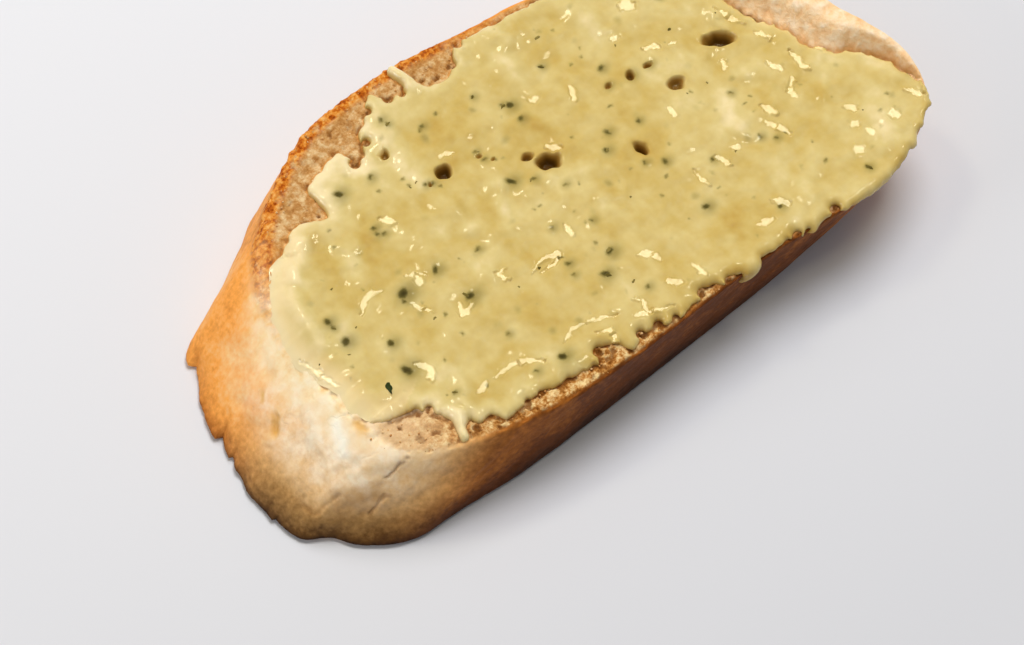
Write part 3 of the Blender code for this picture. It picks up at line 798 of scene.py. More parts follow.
def makeBread():
    stretches = bread["stretches"]
    turns = np.arange(bread["rimSteps"]) / bread["rimSteps"]
    loop = rimAt(turns)
    plan, triangles, order = planMesh(loop, *breadPlan())
    x, y = plan[:, 0], plan[:, 1]
    turn, inset = placeOf(x, y)
    inset[order], turn[order] = 0.0, turns
    away = fromButter(x, y)
    away = np.where(insideButter(x, y) > 0, -away, away)
    bare = smooth(0.5 + away)
    lip = hump(turn, *loaf["lip"])
    calm = 1 - 0.85 * lip
    pits = crumbPits(x, y, turn, inset, away, bare)
    hollow = stamped(
        treeOf(x, y), len(x), widened(pores, 1.5, 1.5, 2.0), lambda off, row: row[5] * smooth((1 - off) * 3)
    )
    points = surfacePoints(turn, inset, x, y)
    crags = 0.30 * ripple(x, y, 10.0, 2.4, 2) + 0.11 * ripple(x, y, 3.0, 0.8, 2)
    points[:, 2] += bare * (crags - 0.8 * pits) * calm * smooth(0.3 + inset / 0.8) - hollow * (1 - bare)
    # the deeper a pit, the darker it is painted: painted shade in the hollows
    pitShadeAndSpots = smooth((pits - 0.12) / 0.40) * smooth(0.8 + away) * calm
    # crust, not crumb, shows at the heel
    torn = np.where(y < 8, smooth((x + 52.4) / 1.6), 1.0) * (1 - hump(turn, *stretches["smoothHeel"]))
    parts, faces = [points], [triangles]
    attributes = {
        "turn": [turn],
        "share": [np.full(len(x), 1.0)],
        "pitShadeAndSpots": [pitShadeAndSpots],
        "crumb": [bare * smooth((inset - 0.25) / 0.7) * (1 - lip) * torn],
        "inset": [inset],
        "away": [away],
    }
    # rows of the rounded edge, then of the wall down to the foot
    upper, count = order, len(x)
    rounding = edgeRound(turns)
    slope = 1 / np.sqrt(1 + (loaf["biasShift"] / loaf["thickness"] * normalAt(turns)[:, 0]) ** 2)
    topShare = 1 - rounding * slope / loaf["thickness"]
    rows = []
    for row in range(1, bread["edgeRows"] + 1):
        depth = row / bread["edgeRows"]
        p = surfacePoints(turns, -rounding * depth, loop[:, 0], loop[:, 1])
        rows.append((p, 1 - (1 - topShare) * depth, -rounding * depth))
    for row in range(1, bread["wallRows"] + 1):
        share = topShare + (bread["wallFoot"] - topShare) * row / bread["wallRows"]
        rows.append((wallPoints(turns, share), share, -(1 - share) * loaf["thickness"] / slope))
    # skin of the crust: wrinkles, flour flakes on the heel, a ragged torn foot, a flaky toasted rim
    flaky, ragged, charred = (hump(turns, *stretches[name]) for name in ("flaky", "ragged", "charred"))
    jag = 0.25 * ripple(loop[:, 0], loop[:, 1], 2.0, 1.5, 3)
    for i, (p, share, inset) in enumerate(rows):
        normals = surfaceNormals(turns, np.maximum(inset, -rounding))
        ease = smooth((i + 1) / bread["edgeRows"])
        skin = 0.04 * ripple(p[:, 0], p[:, 1], p[:, 2], 1.0, 2)
        flakes = terraced(ripple(p[:, 0], p[:, 1], p[:, 2] + 30, 4.5, 3), 4.0)
        tears = jag * ragged * smooth(1 - p[:, 2] / 2.5)
        scales = charred * smooth((inset + 2.2) / 1.4) * 0.5 * ripple(p[:, 0], p[:, 1], p[:, 2], 1.8, 3)
        out = ease * (skin + 0.28 * flaky * flakes) + np.minimum(tears, 0.2) + scales * smooth(-inset / 0.5)
        parts.append(p + normals * out[:, None])
        lower = count + np.arange(len(turns))
        faces.append(bandFaces(upper, lower))
        upper, count = lower, count + len(turns)
        spots = rimAt(turns) - normalAt(turns) * inset[:, None]
        attributes["turn"].append(turns)
        attributes["share"].append(share)
        attributes["pitShadeAndSpots"].append(np.zeros(len(turns)))
        attributes["crumb"].append(np.zeros(len(turns)))
        attributes["inset"].append(inset)
        attributes["away"].append(fromButter(spots[:, 0], spots[:, 1]))
    # chamfer and flat underside
    foot = parts[-1][:, :2] - normalAt(turns) * bread["foot"]
    x, y = hexGrid(bread["under"])
    inner = placeOf(x, y)[1] > 4.0
    plan, triangles, order = planMesh(foot, x[inner] - loaf["biasShift"], y[inner])
    parts.append(np.concatenate([plan, np.zeros((len(plan), 1))], axis=1))
    faces.append(bandFaces(upper, count + order))
    faces.append(triangles[:, ::-1] + count)
    turn, inset = placeOf(plan[:, 0] + loaf["biasShift"], plan[:, 1])
    attributes["turn"].append(turn)
    attributes["share"].append(np.zeros(len(plan)))
    attributes["pitShadeAndSpots"].append(0.25 * (ripple(plan[:, 0], plan[:, 1], 7.0, 3.0) > 0.35))
    attributes["crumb"].append(smooth((inset - 1.5) / 2.0))
    attributes["inset"].append(inset)
    attributes["away"].append(np.full(len(plan), 20.0))
    values = {name: np.concatenate(lists) for name, lists in attributes.items()}
    points, shown = finishBread(np.concatenate(parts), values)
    faces = [face for block in faces for face in block]
    piece = addMesh("toasted_bread", points, faces, breadMaterial(shown), shown)
    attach(piece, "root")
    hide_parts("bread")
    print("bread:", len(points), "points,", sum(len(face) - 2 for face in faces), "triangles")


def finishBread(points, values):
    # the marks of the heel, and where each look of the crust and crumb shows
    turn, share, inset, away = (values[name] for name in ("turn", "share", "inset", "away"))
    at = {name: hump(turn, *row) for name, row in bread["stretches"].items()}
    # marks pressed into the heel or raised from it; the creases are also painted darker as painted shade, and
    # the pale flake near white as a painted highlight
    outer = surfaceNormals(turn, inset)
    x, y, z = points.T
    stray = points + 0.45 * np.stack([ripple(x, y, z + 40 * k, 1.6, 2) for k in (1, 2, 3)], axis=1)
    marks = {}
    for label, lines in bread["marks"].items():
        marks[label] = np.zeros(len(points))
        for width, depth, path in lines:
            gap = fromPath(stray, path)
            points = points - outer * (depth * smooth(1 - gap / width))[:, None]
            marks[label] = np.maximum(marks[label], smooth(1 - gap / (1.5 * width)))
    x, y, z = points.T
    # how dark each stretch of the crust is baked
    turns, *levels = zip(*bread["bake"])
    low, middle, top = (np.interp(turn, turns, level, period=1.0) for level in levels)
    lower = low + (middle - low) * smooth(share / 0.5)
    upper = middle + (top - middle) * smooth(share * 2 - 1)
    # at the heel the lowest tenth is darker still: browner crust and painted shade at the floor
    bake = np.where(share < 0.5, lower, upper) + 0.25 * smooth((0.10 - share) / 0.10) * at["darkFootAndShade"]
    toast = 1.3 * at["toast"] * smooth((inset + 3.0) / 1.5) * smooth((2.6 - inset) / 1.4)
    toast *= 0.85 + 0.35 * ripple(x, y, z, 3.0, 2)
    flour = at["flour"] * smooth((share - 0.28) / 0.45)
    flour = np.maximum(flour, 0.5 * at["lipFlour"] * smooth((inset + 3) / 3))
    lip = at["lip"] * smooth((inset + 3.5) / 2.0)
    return points, {
        "bake": np.clip(bake, 0, 1),
        "crumb": values["crumb"],
        "toast": np.clip(toast, 0, 1),
        "flour": np.clip(flour, 0, 1),
        "pitShadeAndSpots": values["pitShadeAndSpots"],
        # butter-soaked crust, less rough and painted paler as a painted sheen
        "greaseAndPaintedSheen": at["greaseAndPaintedSheen"] * smooth(1 - away / 6.5) * (inset < 1.5),
        "golden": at["golden"],
        "dusky": at["dusky"],
        "lip": lip,
        # painted shade in the crevice at the foot of the lip, next to the butter
        "creviceShade": lip * smooth(1 - away / 1.1) * smooth(inset / 0.8) * 0.8,
        "sheen": at["sheen"] * smooth((share - 0.25) / 0.4) * (inset < 1.5),
        **marks,
    }


# the butter
butter = {
    "spacing": 0.40,
    "close": 0.145,  # mesh spacing at glossy nicks and pores
    "thickness": 1.15,
    "edgeWidth": 1.0,
    "edgeDepths": (0.05, 0.14, 0.28, 0.47),  # rows of the mesh inside the edge
    "under": 2.0,  # mesh spacing of the underside
    "lumps": ((9.0, 0.24, 2), (3.6, 0.035, 2)),  # size, height, octaves
    "smear": (9.0, 3.0, 0.06),  # length, width, height
    "ridges": (  # x, y to x, y, half width, height: thick pale smears
        (-17.9, 36.0, -19.3, 26.6, 2.4, 0.36),
        (6.6, 38.4, 4.4, 28.2, 2.0, 0.34),
        (-9.5, 44.5, -8.3, 39.8, 1.6, 0.25),
        (19.9, 36.1, 19.9, 31.2, 2.4, 0.25),
        (25.6, 6.0, 26.1, -0.4, 1.8, 0.30),
        (-18.5, 22.7, -18.4, 15.6, 1.8, 0.30),
        (-40.9, 30.2, -45.7, 26.1, 1.8, 0.45),
        (-35.3, 25.4, -37.8, 19.4, 2.0, 0.30),
        (-47.9, 23.4, -49.3, 14.4, 2.2, 0.40),
        (-37.3, -0.9, -38.0, -7.6, 1.8, 0.40),
        (-41.0, -7.4, -42.4, -11.4, 1.2, 0.35),
        (-10.8, 18.5, -13.7, 11.6, 1.6, 0.25),
        (45.5, -6.7, 41.6, -15.5, 2.4, 0.30),
        (2.8, 11.7, -0.2, 3.5, 2.0, 0.25),
        (30.5, -9.0, 24.0, -15.0, 2.2, 0.25),
        (36.0, 21.0, 36.5, 17.0, 1.5, 0.30),
        (36.6, 13.2, 39.0, 11.6, 1.5, 0.25),
        (32.0, 10.6, 32.8, 8.8, 1.8, 0.30),
        (43.4, 3.0, 42.6, 0.2, 1.8, 0.25),
    ),
    "nicks": (  # glossy nicks and pulls left by the knife, as lines of x, y
        ((-40.8, 14.5), (-39.2, 16.2), (-37.6, 16.4), (-36.2, 16.0)),
        ((-31.5, 15.5), (-30.1, 14.6), (-29.2, 13.5)),
        ((-30.3, 14.4), (-30.6, 13.0)),
        ((-33.9, 11.2), (-33.7, 9.6), (-32.4, 7.9)),
        ((-28.4, 6.4), (-29.3, 4.4), (-26.9, 4.9)),
        ((-19.8, 4.4), (-20.9, 6.4), (-19.1, 6.4)),
        ((-16.5, 3.2), (-14.1, 4.0), (-10.9, 3.0), (-12.7, 2.0), (-15.5, 2.3)),
        ((-2.1, -5.3), (-0.4, -6.1), (0.1, -7.8)),
        ((-20.8, -9.3), (-18.1, -8.3), (-15.2, -9.0), (-13.0, -10.0), (-11.5, -10.8)),
        ((-32.4, -7.1), (-29.4, -6.8), (-26.9, -8.0), (-25.0, -9.9)),
        ((-7.8, -10.8), (-6.7, -11.4), (-7.5, -13.5), (-5.8, -14.5), (-3.7, -15.6)),
        ((-9.2, -13.2), (-8.1, -13.7)),
        ((3.3, -12.2), (3.4, -14.6)),
        ((-1.5, -11.9), (-0.5, -13.0)),
        ((15.7, -13.5), (17.8, -14.1)),
        ((14.7, 0.3), (14.4, -1.2), (14.7, -3.0)),
        ((19.0, 0.2), (19.6, -2.3)),
        ((30.6, 2.4), (31.3, -0.0)),
        ((29.1, -0.0), (29.7, -1.7), (30.8, -4.1)),
        ((36.8, 7.2), (37.5, 5.6)),
        ((40.9, 7.0), (40.9, 5.2), (40.5, 3.6), (41.1, 2.5)),
        ((38.3, 3.3), (35.9, 1.5), (36.2, 0.0)),
        ((40.6, -6.2), (41.7, -7.3)),
        ((39.4, -9.4), (39.8, -9.6)),
        ((40.3, -11.7), (40.4, -12.7)),
        ((36.6, -13.3), (36.9, -13.6)),
        ((45.1, -12.2), (45.4, -12.8)),
        ((49.7, -10.3), (51.2, -12.8)),
        ((31.8, 12.9), (30.9, 11.3)),
        ((37.2, 20.7), (37.8, 17.7), (38.7, 15.7)),
        ((25.9, 30.8), (27.5, 29.6)),
        ((21.2, 27.3), (21.5, 27.0)),
        ((23.7, 22.3), (25.5, 21.4)),
        ((27.4, 20.4), (27.8, 20.2)),
        ((19.2, 11.5), (19.1, 10.0)),
        ((9.9, 24.6), (9.0, 22.6)),
        ((-7.1, 6.0), (-7.4, 4.4)),
        ((-13.8, 28.3), (-11.9, 27.6)),
        ((0.1, 18.7), (1.5, 17.3)),
        ((20.4, -11.7), (21.7, -13.4)),
        ((22.4, -0.5), (22.8, -0.7)),
        ((-52.9, 15.0), (-52.2, 11.3), (-51.4, 7.6)),
        ((-40.2, 2.7), (-39.0, 0.6), (-40.1, -1.3)),
        ((-34.3, -6.8), (-35.7, -7.3)),
        ((-28.1, 25.7), (-26.8, 23.9)),
        ((-15.8, -11.4), (-14.0, -12.3), (-14.9, -15.0)),
        ((3.9, 26.7), (4.3, 26.5)),
        ((39.2, 13.4), (40.1, 10.8)),
        ((44.9, 5.4), (45.2, 4.0)),
    ),
    "nickWidth": (0.40, 0.62),
    "gleams": (  # slopes that catch a lamp: along x and its change by x, along y and its change by y
        (0.262, 0.00148, -0.107, 0.00122),
        (0.021, 0.00129, 0.254, 0.00140),
    ),
    "flecks": (  # x, y, radius: chopped herbs in and under the butter
        (9.1, 30.7, 0.64), (12.8, 27.7, 0.40), (15.0, 27.7, 0.40), (16.0, 24.2, 0.72),
        (14.8, 21.0, 0.64), (18.6, 20.1, 0.80), (22.1, 19.8, 0.72), (-3.0, 33.2, 0.56),
        (0.6, 28.3, 0.96), (-0.3, 29.3, 0.56), (0.2, 25.2, 0.72), (-16.8, 39.3, 0.64),
        (-16.4, 38.0, 0.56), (-12.5, 34.4, 0.64), (-13.2, 33.9, 0.48), (9.0, 14.6, 0.72),
        (14.1, 13.0, 0.64), (4.1, 17.5, 0.48), (6.7, 12.3, 0.80), (9.8, 6.6, 0.64),
        (12.3, 4.7, 0.72), (10.6, 2.5, 0.48), (-18.9, 25.8, 0.56), (-17.9, 25.2, 0.56),
        (-17.2, 24.2, 0.48), (-9.1, 25.4, 0.56), (-8.9, 23.5, 0.56), (-7.6, 22.3, 0.40),
        (-8.3, 17.6, 0.96), (-5.4, 15.6, 0.64), (-2.3, 11.8, 0.56), (-1.8, 11.3, 0.40),
        (-0.6, 10.4, 0.32), (-30.3, 33.2, 0.96), (-24.6, 32.4, 0.72), (-25.2, 29.6, 0.40),
        (-20.9, 28.9, 0.40), (-20.9, 27.4, 0.48), (-30.0, 25.0, 0.72), (-29.3, 23.4, 0.64),
        (-30.2, 23.8, 0.64), (-27.4, 13.2, 0.88), (-33.8, 13.3, 1.36), (-34.5, 12.0, 0.72),
        (-26.2, 6.3, 1.12), (-45.9, 16.7, 0.88), (-45.9, 15.5, 0.64), (-35.6, 29.1, 0.48),
        (-45.8, 12.4, 0.96), (-40.8, 7.7, 0.96), (-41.8, 2.6, 1.20), (-31.2, 6.3, 0.48),
        (-36.4, 0.2, 0.40), (-47.9, 8.4, 0.40), (-49.2, 7.0, 0.32), (-26.1, -2.6, 0.56),
        (-31.4, 2.0, 0.48), (-8.9, 7.2, 0.64), (-3.4, 4.2, 0.64), (-4.4, 4.5, 0.40),
        (-5.6, 0.8, 0.48), (-11.1, 0.7, 0.64), (-11.8, -1.3, 0.56), (-11.1, 2.2, 0.40),
        (-8.0, -4.3, 0.96), (-4.8, -1.8, 0.96), (-22.5, -11.0, 1.04), (-27.2, -10.3, 0.64),
        (-4.6, -10.3, 0.64), (11.8, -5.5, 0.88), (18.2, 0.2, 0.64), (26.7, -1.5, 0.64),
        (28.5, -3.4, 0.64), (30.2, -3.6, 0.40), (20.4, -13.1, 0.72), (31.5, -11.6, 0.48),
        (35.6, -16.7, 0.72), (47.0, -8.9, 0.48), (44.0, -10.6, 0.40), (28.5, 7.4, 0.56),
        (28.9, 4.4, 0.48), (24.0, 11.6, 0.40), (-20.1, 11.8, 0.64), (-23.4, 12.3, 0.32),
        (-9.4, 34.7, 0.48), (7.3, 7.3, 0.32), (7.9, 0.4, 0.40), (8.4, -5.3, 0.32),
        (15.6, -4.2, 0.40), (-36.8, 26.4, 0.48), (-41.9, 22.9, 0.32), (-38.2, 17.7, 0.32),
        (12.4, 17.9, 0.48), (16.0, 29.2, 0.32), (14.7, 34.4, 0.40), (38.0, 1.5, 0.40),
        (32.3, -7.6, 0.32), (30.5, 4.9, 0.40), (-7.8, 11.3, 0.40), (-8.8, 11.5, 0.32),
        (-38.9, -5.1, 0.56), (-40.0, -4.7, 0.40), (-34.3, -7.3, 0.40),
    ),
    "faintFlecks": 120,
    "seed": 5,
    "stretches": {  # of the rim, by turn: middle, half width, power
        "thin": (0.506, 0.064, 4),
        "lowerSide": (0.740, 0.160, 4),
        "creamy": (0.450, 0.100, 4),
        "tongue": (0.625, 0.028, 4),
        "rightSide": (0.890, 0.110, 4),
        "film": (0.508, 0.072, 4),
    },
    "patterns": {  # size in mm, roughness, swing in paleness
        "smears": (3.4, 0.45, 0.6),
        "clouds": (7.0, 0.50, 0.6),
        "curds": (2.4, 0.50, 0.5),
    },
    "tones": ((0.0, "#C39E4A"), (0.3, "#D0B468"), (0.6, "#DCC684"), (1.0, "#F6E2B2")),
    "sunkHerb": ((0.0, "#BBAA6A"), (0.45, "#87783A"), (1.0, "#443A10")),
    # butter in pores: golden, painted darker with depth as painted shade
    "inPoreShade": ((0.0, "#CFAF6C"), (0.35, "#A87E38"), (0.7, "#7A561A"), (1.0, "#5A3A0A")),
}


def butterMaterial(names):
    # herb butter, melted and half set: wet and slightly see-through, pale where thick and golden where thin
    material, tree = newMaterial("melted_herb_butter")
    where = addNode(tree, "TexCoord", out="Object")
    on = {name: addNode(tree, "Attribute", out="Fac", attribute_name=name) for name in names}
    # the smears run one way, as the knife went
    dragged = addNode(tree, "Mapping", {"Vector": where, "Scale": (1.0, 0.5, 1.0), "Rotation": (0, 0, -0.14)})
    level = on["cream"]
    for name, (size, rough, swing) in butter["patterns"].items():
        inputs = {"Vector": dragged if name == "smears" else where, "Scale": 1 / (size * mm)}
        pattern = addNode(tree, "TexNoise", {**inputs, "Detail": 2.0, "Roughness": rough})
        level = varied(tree, level, pattern, swing)
    tones = addNode(tree, "ValToRGB", {"Fac": level}, stops=butter["tones"])
    # herbs lying under the surface show as soft grey-green shadows
    herb = addNode(tree, "ValToRGB", {"Fac": on["fleck"]}, stops=butter["sunkHerb"])
    overHerb = addNode(tree, "MapRange", {"Value": on["fleck"], "From Min": 0.02, "From Max": 0.75})
    # in pores the butter is golden, and painted darker the deeper it dips as painted shade
    brown = addNode(tree, "ValToRGB", {"Fac": on["pore"]}, stops=butter["inPoreShade"])
    inPoreShade = addNode(tree, "MapRange", {"Value": on["pore"], "From Min": 0.02, "From Max": 0.35})
    colour = layered(tree, tones, ((overHerb, 1.0, herb), (inPoreShade, 1.0, brown), (on["film"], 1.0, "#FADFAC")))
    shader = addNode(
        tree,
        "BsdfPrincipled",
        {
            "Base Color": colour,
            "Roughness": 0.13,
            "IOR": 1.46,
            "Subsurface Weight": 0.3,
            "Subsurface Radius": (1.0, 0.85, 0.6),
            "Subsurface Scale": 0.8 * mm,
        },
    )
    addNode(tree, "OutputMaterial", {"Surface": shader})
    return material


def nickPieces(draw):
    # the nicks as short pieces (x, y to x, y, half width, facet) and the slopes of their flat facets
    pieces, facets = [], []
    for line in butter["nicks"]:
        corners = np.array(line)
        along = np.concatenate([[0], np.cumsum(np.linalg.norm(np.diff(corners, axis=0), axis=1))])
        count = max(1, round(along[-1] / 0.7))
        marks = np.linspace(0, along[-1], count + 1)
        path = np.stack([np.interp(marks, along, corners[:, i]) for i in (0, 1)], axis=1)
        x, y = path.mean(axis=0)
        slopes = [(a + b * x, c + d * y) for a, b, c, d in butter["gleams"]]
        slope = min(slopes, key=lambda pair: np.ptp(path @ pair))  # the one that climbs least along it
        groups = min(count, math.ceil(np.ptp(path @ slope) / 0.55))
        widest = draw.uniform(*butter["nickWidth"]) * (1.25 if along[-1] < 2.2 else 1.0)
        for part in np.array_split(np.arange(count), max(1, groups)):
            facets.append((slope[0] * draw.uniform(0.95, 1.05), slope[1] + draw.uniform(-0.012, 0.012)))
            for k in part:
                taper = 0.4 + 0.6 * math.sin(math.pi * (k + 0.5) / count)
                width = widest * taper * draw.uniform(0.8, 1.2)
                pieces.append((*path[k], *path[k + 1], width, len(facets) - 1))
    return pieces, facets


def tilted(x, y, height, pieces, facets):
    # height of the butter's surface once the facets along the nicks slope to catch the light
    warpX, warpY = x + 0.34 * ripple(x, y, 80.0, 0.9, 3), y + 0.34 * ripple(x, y, 95.0, 0.9, 3)
    tree = treeOf(x, y)
    nearest, owner = np.full(len(x), 9.0), np.full(len(x), -1)
    for x1, y1, x2, y2, width, facet in pieces:
        reach = math.dist((x1, y1), (x2, y2)) / 2 + 1.6 * width + 0.5
        near = np.array([i for _, i, _ in tree.find_range(((x1 + x2) / 2, (y1 + y2) / 2, 0), reach)], int)
        away = fromLine(warpX[near], warpY[near], (x1, y1, x2, y2))[2] / width
        closer = away < nearest[near]
        nearest[near[closer]] = away[closer]
        owner[near[closer]] = facet
    sloped = height.copy()
    for facet, (alongX, alongY) in enumerate(facets):
        held = (owner == facet) & (nearest < 1.5)
        if held.any():
            rise = alongX * x[held] + alongY * y[held]
            sloped[held] = height[held].mean() + rise - rise.mean()
    close = nearest < 1.5
    sloped[close] += 0.010 * ripple(x[close], y[close], 140.0, 0.8, 2)
    return height + smooth((1.5 - nearest) / 0.6) * (sloped - height)


def butterPlan(nicks):
    # even over most of the butter, closer at nicks and pores, in rows at the edge
    x, y = hexGrid(butter["spacing"])
    closeX, closeY = hexGrid(butter["close"])
    keep = insideButter(closeX, closeY) > 0.3
    closeX, closeY = closeX[keep], closeY[keep]
    tree, wells = treeOf(closeX, closeY), widened(pores, 1.7, 1.7)
    near = stamped(tree, len(closeX), wells, lambda off, row: off * 0 + 1) > 0
    for row in nicks:
        near |= fromLine(closeX, closeY, row[:4])[2] < row[4] * 1.5 + 0.35
    closeX, closeY = closeX[near], closeY[near]
    keep = fromButter(closeX, closeY) > 0.5
    closeX, closeY = closeX[keep], closeY[keep]
    closeTree = treeOf(closeX, closeY)
    keep = insideButter(x, y) > 0.2
    keep[keep] = fromButter(x[keep], y[keep]) > 0.70
    spots = zip(x[keep], y[keep])
    keep[keep] = np.fromiter((closeTree.find((a, b, 0))[2] for a, b in spots), float, keep.sum()) > 0.24
    xs, ys = [x[keep], closeX], [y[keep], closeY]
    inward = -outwards(butterLoop)
    for depth in butter["edgeDepths"]:
        ring = butterLoop + inward * depth
        good = insideButter(ring[:, 0], ring[:, 1]) > 0
        good &= fromButter(ring[:, 0], ring[:, 1]) > 0.75 * depth
        xs.append(ring[good, 0])
        ys.append(ring[good, 1])
    return np.concatenate(xs), np.concatenate(ys)


def butterThickness(x, y, away, at):
    # lumpy, smeared one way, with thick pale ridges, and rounded at the edge
    thick = np.full(len(x), butter["thickness"])
    for size, height, octaves in butter["lumps"]:
        thick += height * ripple(x, y, 20.0, size, octaves)
    length, width, height = butter["smear"]
    thick += height * ripple(x, y * width / length, 40.0, width, 2)
    ridge = np.zeros(len(x))
    strayX, strayY = x + 1.3 * ripple(x, y, 25.0, 4.0, 2), y + 1.3 * ripple(x, y, 65.0, 4.0, 2)
    for row in butter["ridges"]:
        off = fromLine(strayX, strayY, row[:4])[2]
        ridge = np.maximum(ridge, row[5] * smooth(1 - off / (1.3 * row[4])))
    thick += ridge
    bead = np.clip(away / (butter["edgeWidth"] * (1 + 0.8 * at["lowerSide"]) + 4.5 * at["thin"]), 0, 1)
    rounded = np.where(at["thin"] > 0.5, smooth(bead), np.sqrt(1 - (1 - bead) ** 2))
    return np.maximum(thick, 0.35) * rounded, ridge


def herbSpots(draw):
    # chopped herbs under the surface, the soft shadows round them, and fainter ones between
    rows, halos = [], []
    for x, y, r in butter["flecks"]:
        length, width = r * draw.uniform(1.3, 1.9), r * draw.uniform(0.95, 1.25)
        rows.append((x, y, length, width, draw.uniform(0, 180), min(1.0, 0.42 + 0.55 * r)))
        if r > 0.5:
            halos.append((x + 0.4 * r, y - 0.5 * r, r * 3.3, r * 2.6, 25, 0.32 + 0.18 * r))
    while len(rows) < len(butter["flecks"]) + butter["faintFlecks"]:
        x, y = draw.uniform(-52, 52), draw.uniform(-17, 46)
        if insideButter(np.array([x]), np.array([y]))[0] > 0.8:
            size = 0.35 + 0.9 * draw.random() ** 2
            length, degrees = size * draw.uniform(1, 1.6), draw.uniform(0, 180)
            rows.append((x, y, length, size, degrees, draw.uniform(0.12, 0.45)))
    return rows, halos


def makeButter():
    draw = random.Random(butter["seed"])
    nicks, facets = nickPieces(draw)
    plan, triangles, order = planMesh(butterLoop, *butterPlan(nicks))
    x, y = plan[:, 0], plan[:, 1]
    turn, inset = placeOf(x, y)
    away = fromButter(x, y)
    away[order] = 0.0
    tree = treeOf(x, y)
    at = {name: hump(turn, *row) for name, row in butter["stretches"].items()}
    thick, ridge = butterThickness(x, y, away, at)
    # pores that the butter ran into
    wells = widened(pores, 1.3, 1.25)
    warped = treeOf(x + 0.34 * ripple(x, y, 30.0, 1.5, 1), y + 0.34 * ripple(x, y, 45.0, 1.5, 1))
    dip = stamped(warped, len(x), wells, lambda off, row: 0.8 * row[5] * smooth((1 - off) / 0.75))
    golden = stamped(warped, len(x), wells, lambda off, row: smooth((1 - off) / 0.9) * min(1, row[5] / 1.6))
    outer = surfaceNormals(turn, inset)
    top = surfacePoints(turn, inset, x, y) + outer * (thick - 0.02)[:, None]
    top[:, 2] = tilted(x, y, top[:, 2], nicks, facets)
    top -= outer * dip[:, None]
    # underside sunk a little into the crumb
    coarseX, coarseY = hexGrid(butter["under"])
    keep = insideButter(coarseX, coarseY) > 0.5
    keep[keep] = fromButter(coarseX[keep], coarseY[keep]) > 1.6
    underPlan, underTriangles, underOrder = planMesh(butterLoop, coarseX[keep], coarseY[keep])
    underX, underY = underPlan[:, 0], underPlan[:, 1]
    underTurn, underInset = placeOf(underX, underY)
    under = surfacePoints(underTurn, underInset, underX, underY)
    under -= surfaceNormals(underTurn, underInset) * 0.12
    inner = np.ones(len(under))
    inner[underOrder] = 0
    underTree, wells = treeOf(underX, underY), widened(pores, 1.5, 1.5, 2.2)
    under[:, 2] -= inner * stamped(underTree, len(under), wells, lambda off, row: off * 0 + row[5])
    # colour: pale where thick, golden in thin hollows
    cream = 0.42 + 0.16 * (thick - butter["thickness"]) + 0.45 * ridge
    cream += 0.25 * (1 - smooth(away / 3.0)) * smooth(away / 0.3) * (1 - at["lowerSide"])
    cream += 0.35 * at["creamy"] * smooth(1 - away / 7.0)
    cream += 0.45 * at["tongue"] * smooth(1 - away / 3.5)
    cream -= 0.30 * at["rightSide"] * smooth(1 - away / 1.6)
    cream += 0.16 * ripple(x, y, 60.0, 11.0, 2) - 0.25 * golden
    cream -= 0.30 * stamped(warped, len(x), widened(pores, 2.4, 2.2), lambda off, row: smooth(1 - off))
    flecks, halos = herbSpots(draw)
    ragged = treeOf(x + 0.16 * ripple(x, y, 33.0, 0.7, 2), y + 0.16 * ripple(x, y, 48.0, 0.7, 2))
    fleck = stamped(ragged, len(x), flecks, lambda off, row: row[5] * smooth(1.15 * (1 - off)))
    fleck = np.maximum(fleck, stamped(tree, len(x), halos, lambda off, row: row[5] * smooth(1 - off)))
    fleck *= 1 - smooth(golden / 0.5)
    shown = {
        "cream": np.concatenate([np.clip(cream, 0, 1), np.full(len(under), 0.3)]),
        "fleck": np.concatenate([fleck, np.zeros(len(under))]),
        # depth of the dip into each pore, painted darker as painted shade
        "pore": np.concatenate([np.clip(dip / 2.2, 0, 1), np.zeros(len(under))]),
        "film": np.concatenate([at["film"] * smooth(1 - away / 5.5), np.zeros(len(under))]),
    }
    points = np.concatenate([top, under])
    faces = list(triangles) + list(underTriangles[:, ::-1] + len(top))
    faces += list(bandFaces(order, underOrder + len(top)))
    piece = addMesh("melted_butter", points, faces, butterMaterial(shown), shown)
    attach(piece, "root")
    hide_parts("butter")
    print("butter:", len(points), "points,", len(faces), "faces")
    return tree, top


# chopped herbs that stand proud of the butter
herbs = {
    "scattered": 26,
    "standing": 0.22,  # share of the larger flecks that stand proud
    "largeLeaf": (-45.8, 2.2, 1.6, 0.62, 62),  # x, y, half length, half width, degrees
    "sides": 10,
    "levels": ((-0.12, 0.85), (0.0, 1.0), (0.045, 0.65)),  # height and share of the outline
    "seed": 21,
    "veins": (0.5, 3.0, 0.6),  # size in mm, detail, roughness
    "tones": ((0.0, "#26340F"), (0.3, "#4E4314"), (0.6, "#6B5C22"), (1.0, "#907E40")),
}


def herbMaterial():
    # parsley, chopped and cooked dark, wet with butter
    material, tree = newMaterial("chopped_parsley")
    where = addNode(tree, "TexCoord", out="Object")
    tone = addNode(tree, "Attribute", out="Fac", attribute_name="tone")
    size, detail, rough = herbs["veins"]
    inputs = {"Vector": where, "Scale": 1 / (size * mm), "Detail": detail, "Roughness": rough}
    veins = addNode(tree, "TexNoise", inputs)
    colour = addNode(tree, "ValToRGB", {"Fac": varied(tree, tone, veins, 0.5)}, stops=herbs["tones"])
    normal = addNode(tree, "Bump", {"Height": veins, "Distance": 0.08 * mm, "Strength": 0.6})
    inputs = {"Base Color": colour, "Roughness": 0.4, "IOR": 1.45, "Specular IOR Level": 0.3}
    shader = addNode(tree, "BsdfPrincipled", {**inputs, "Normal": normal})
    addNode(tree, "OutputMaterial", {"Surface": shader})
    return material


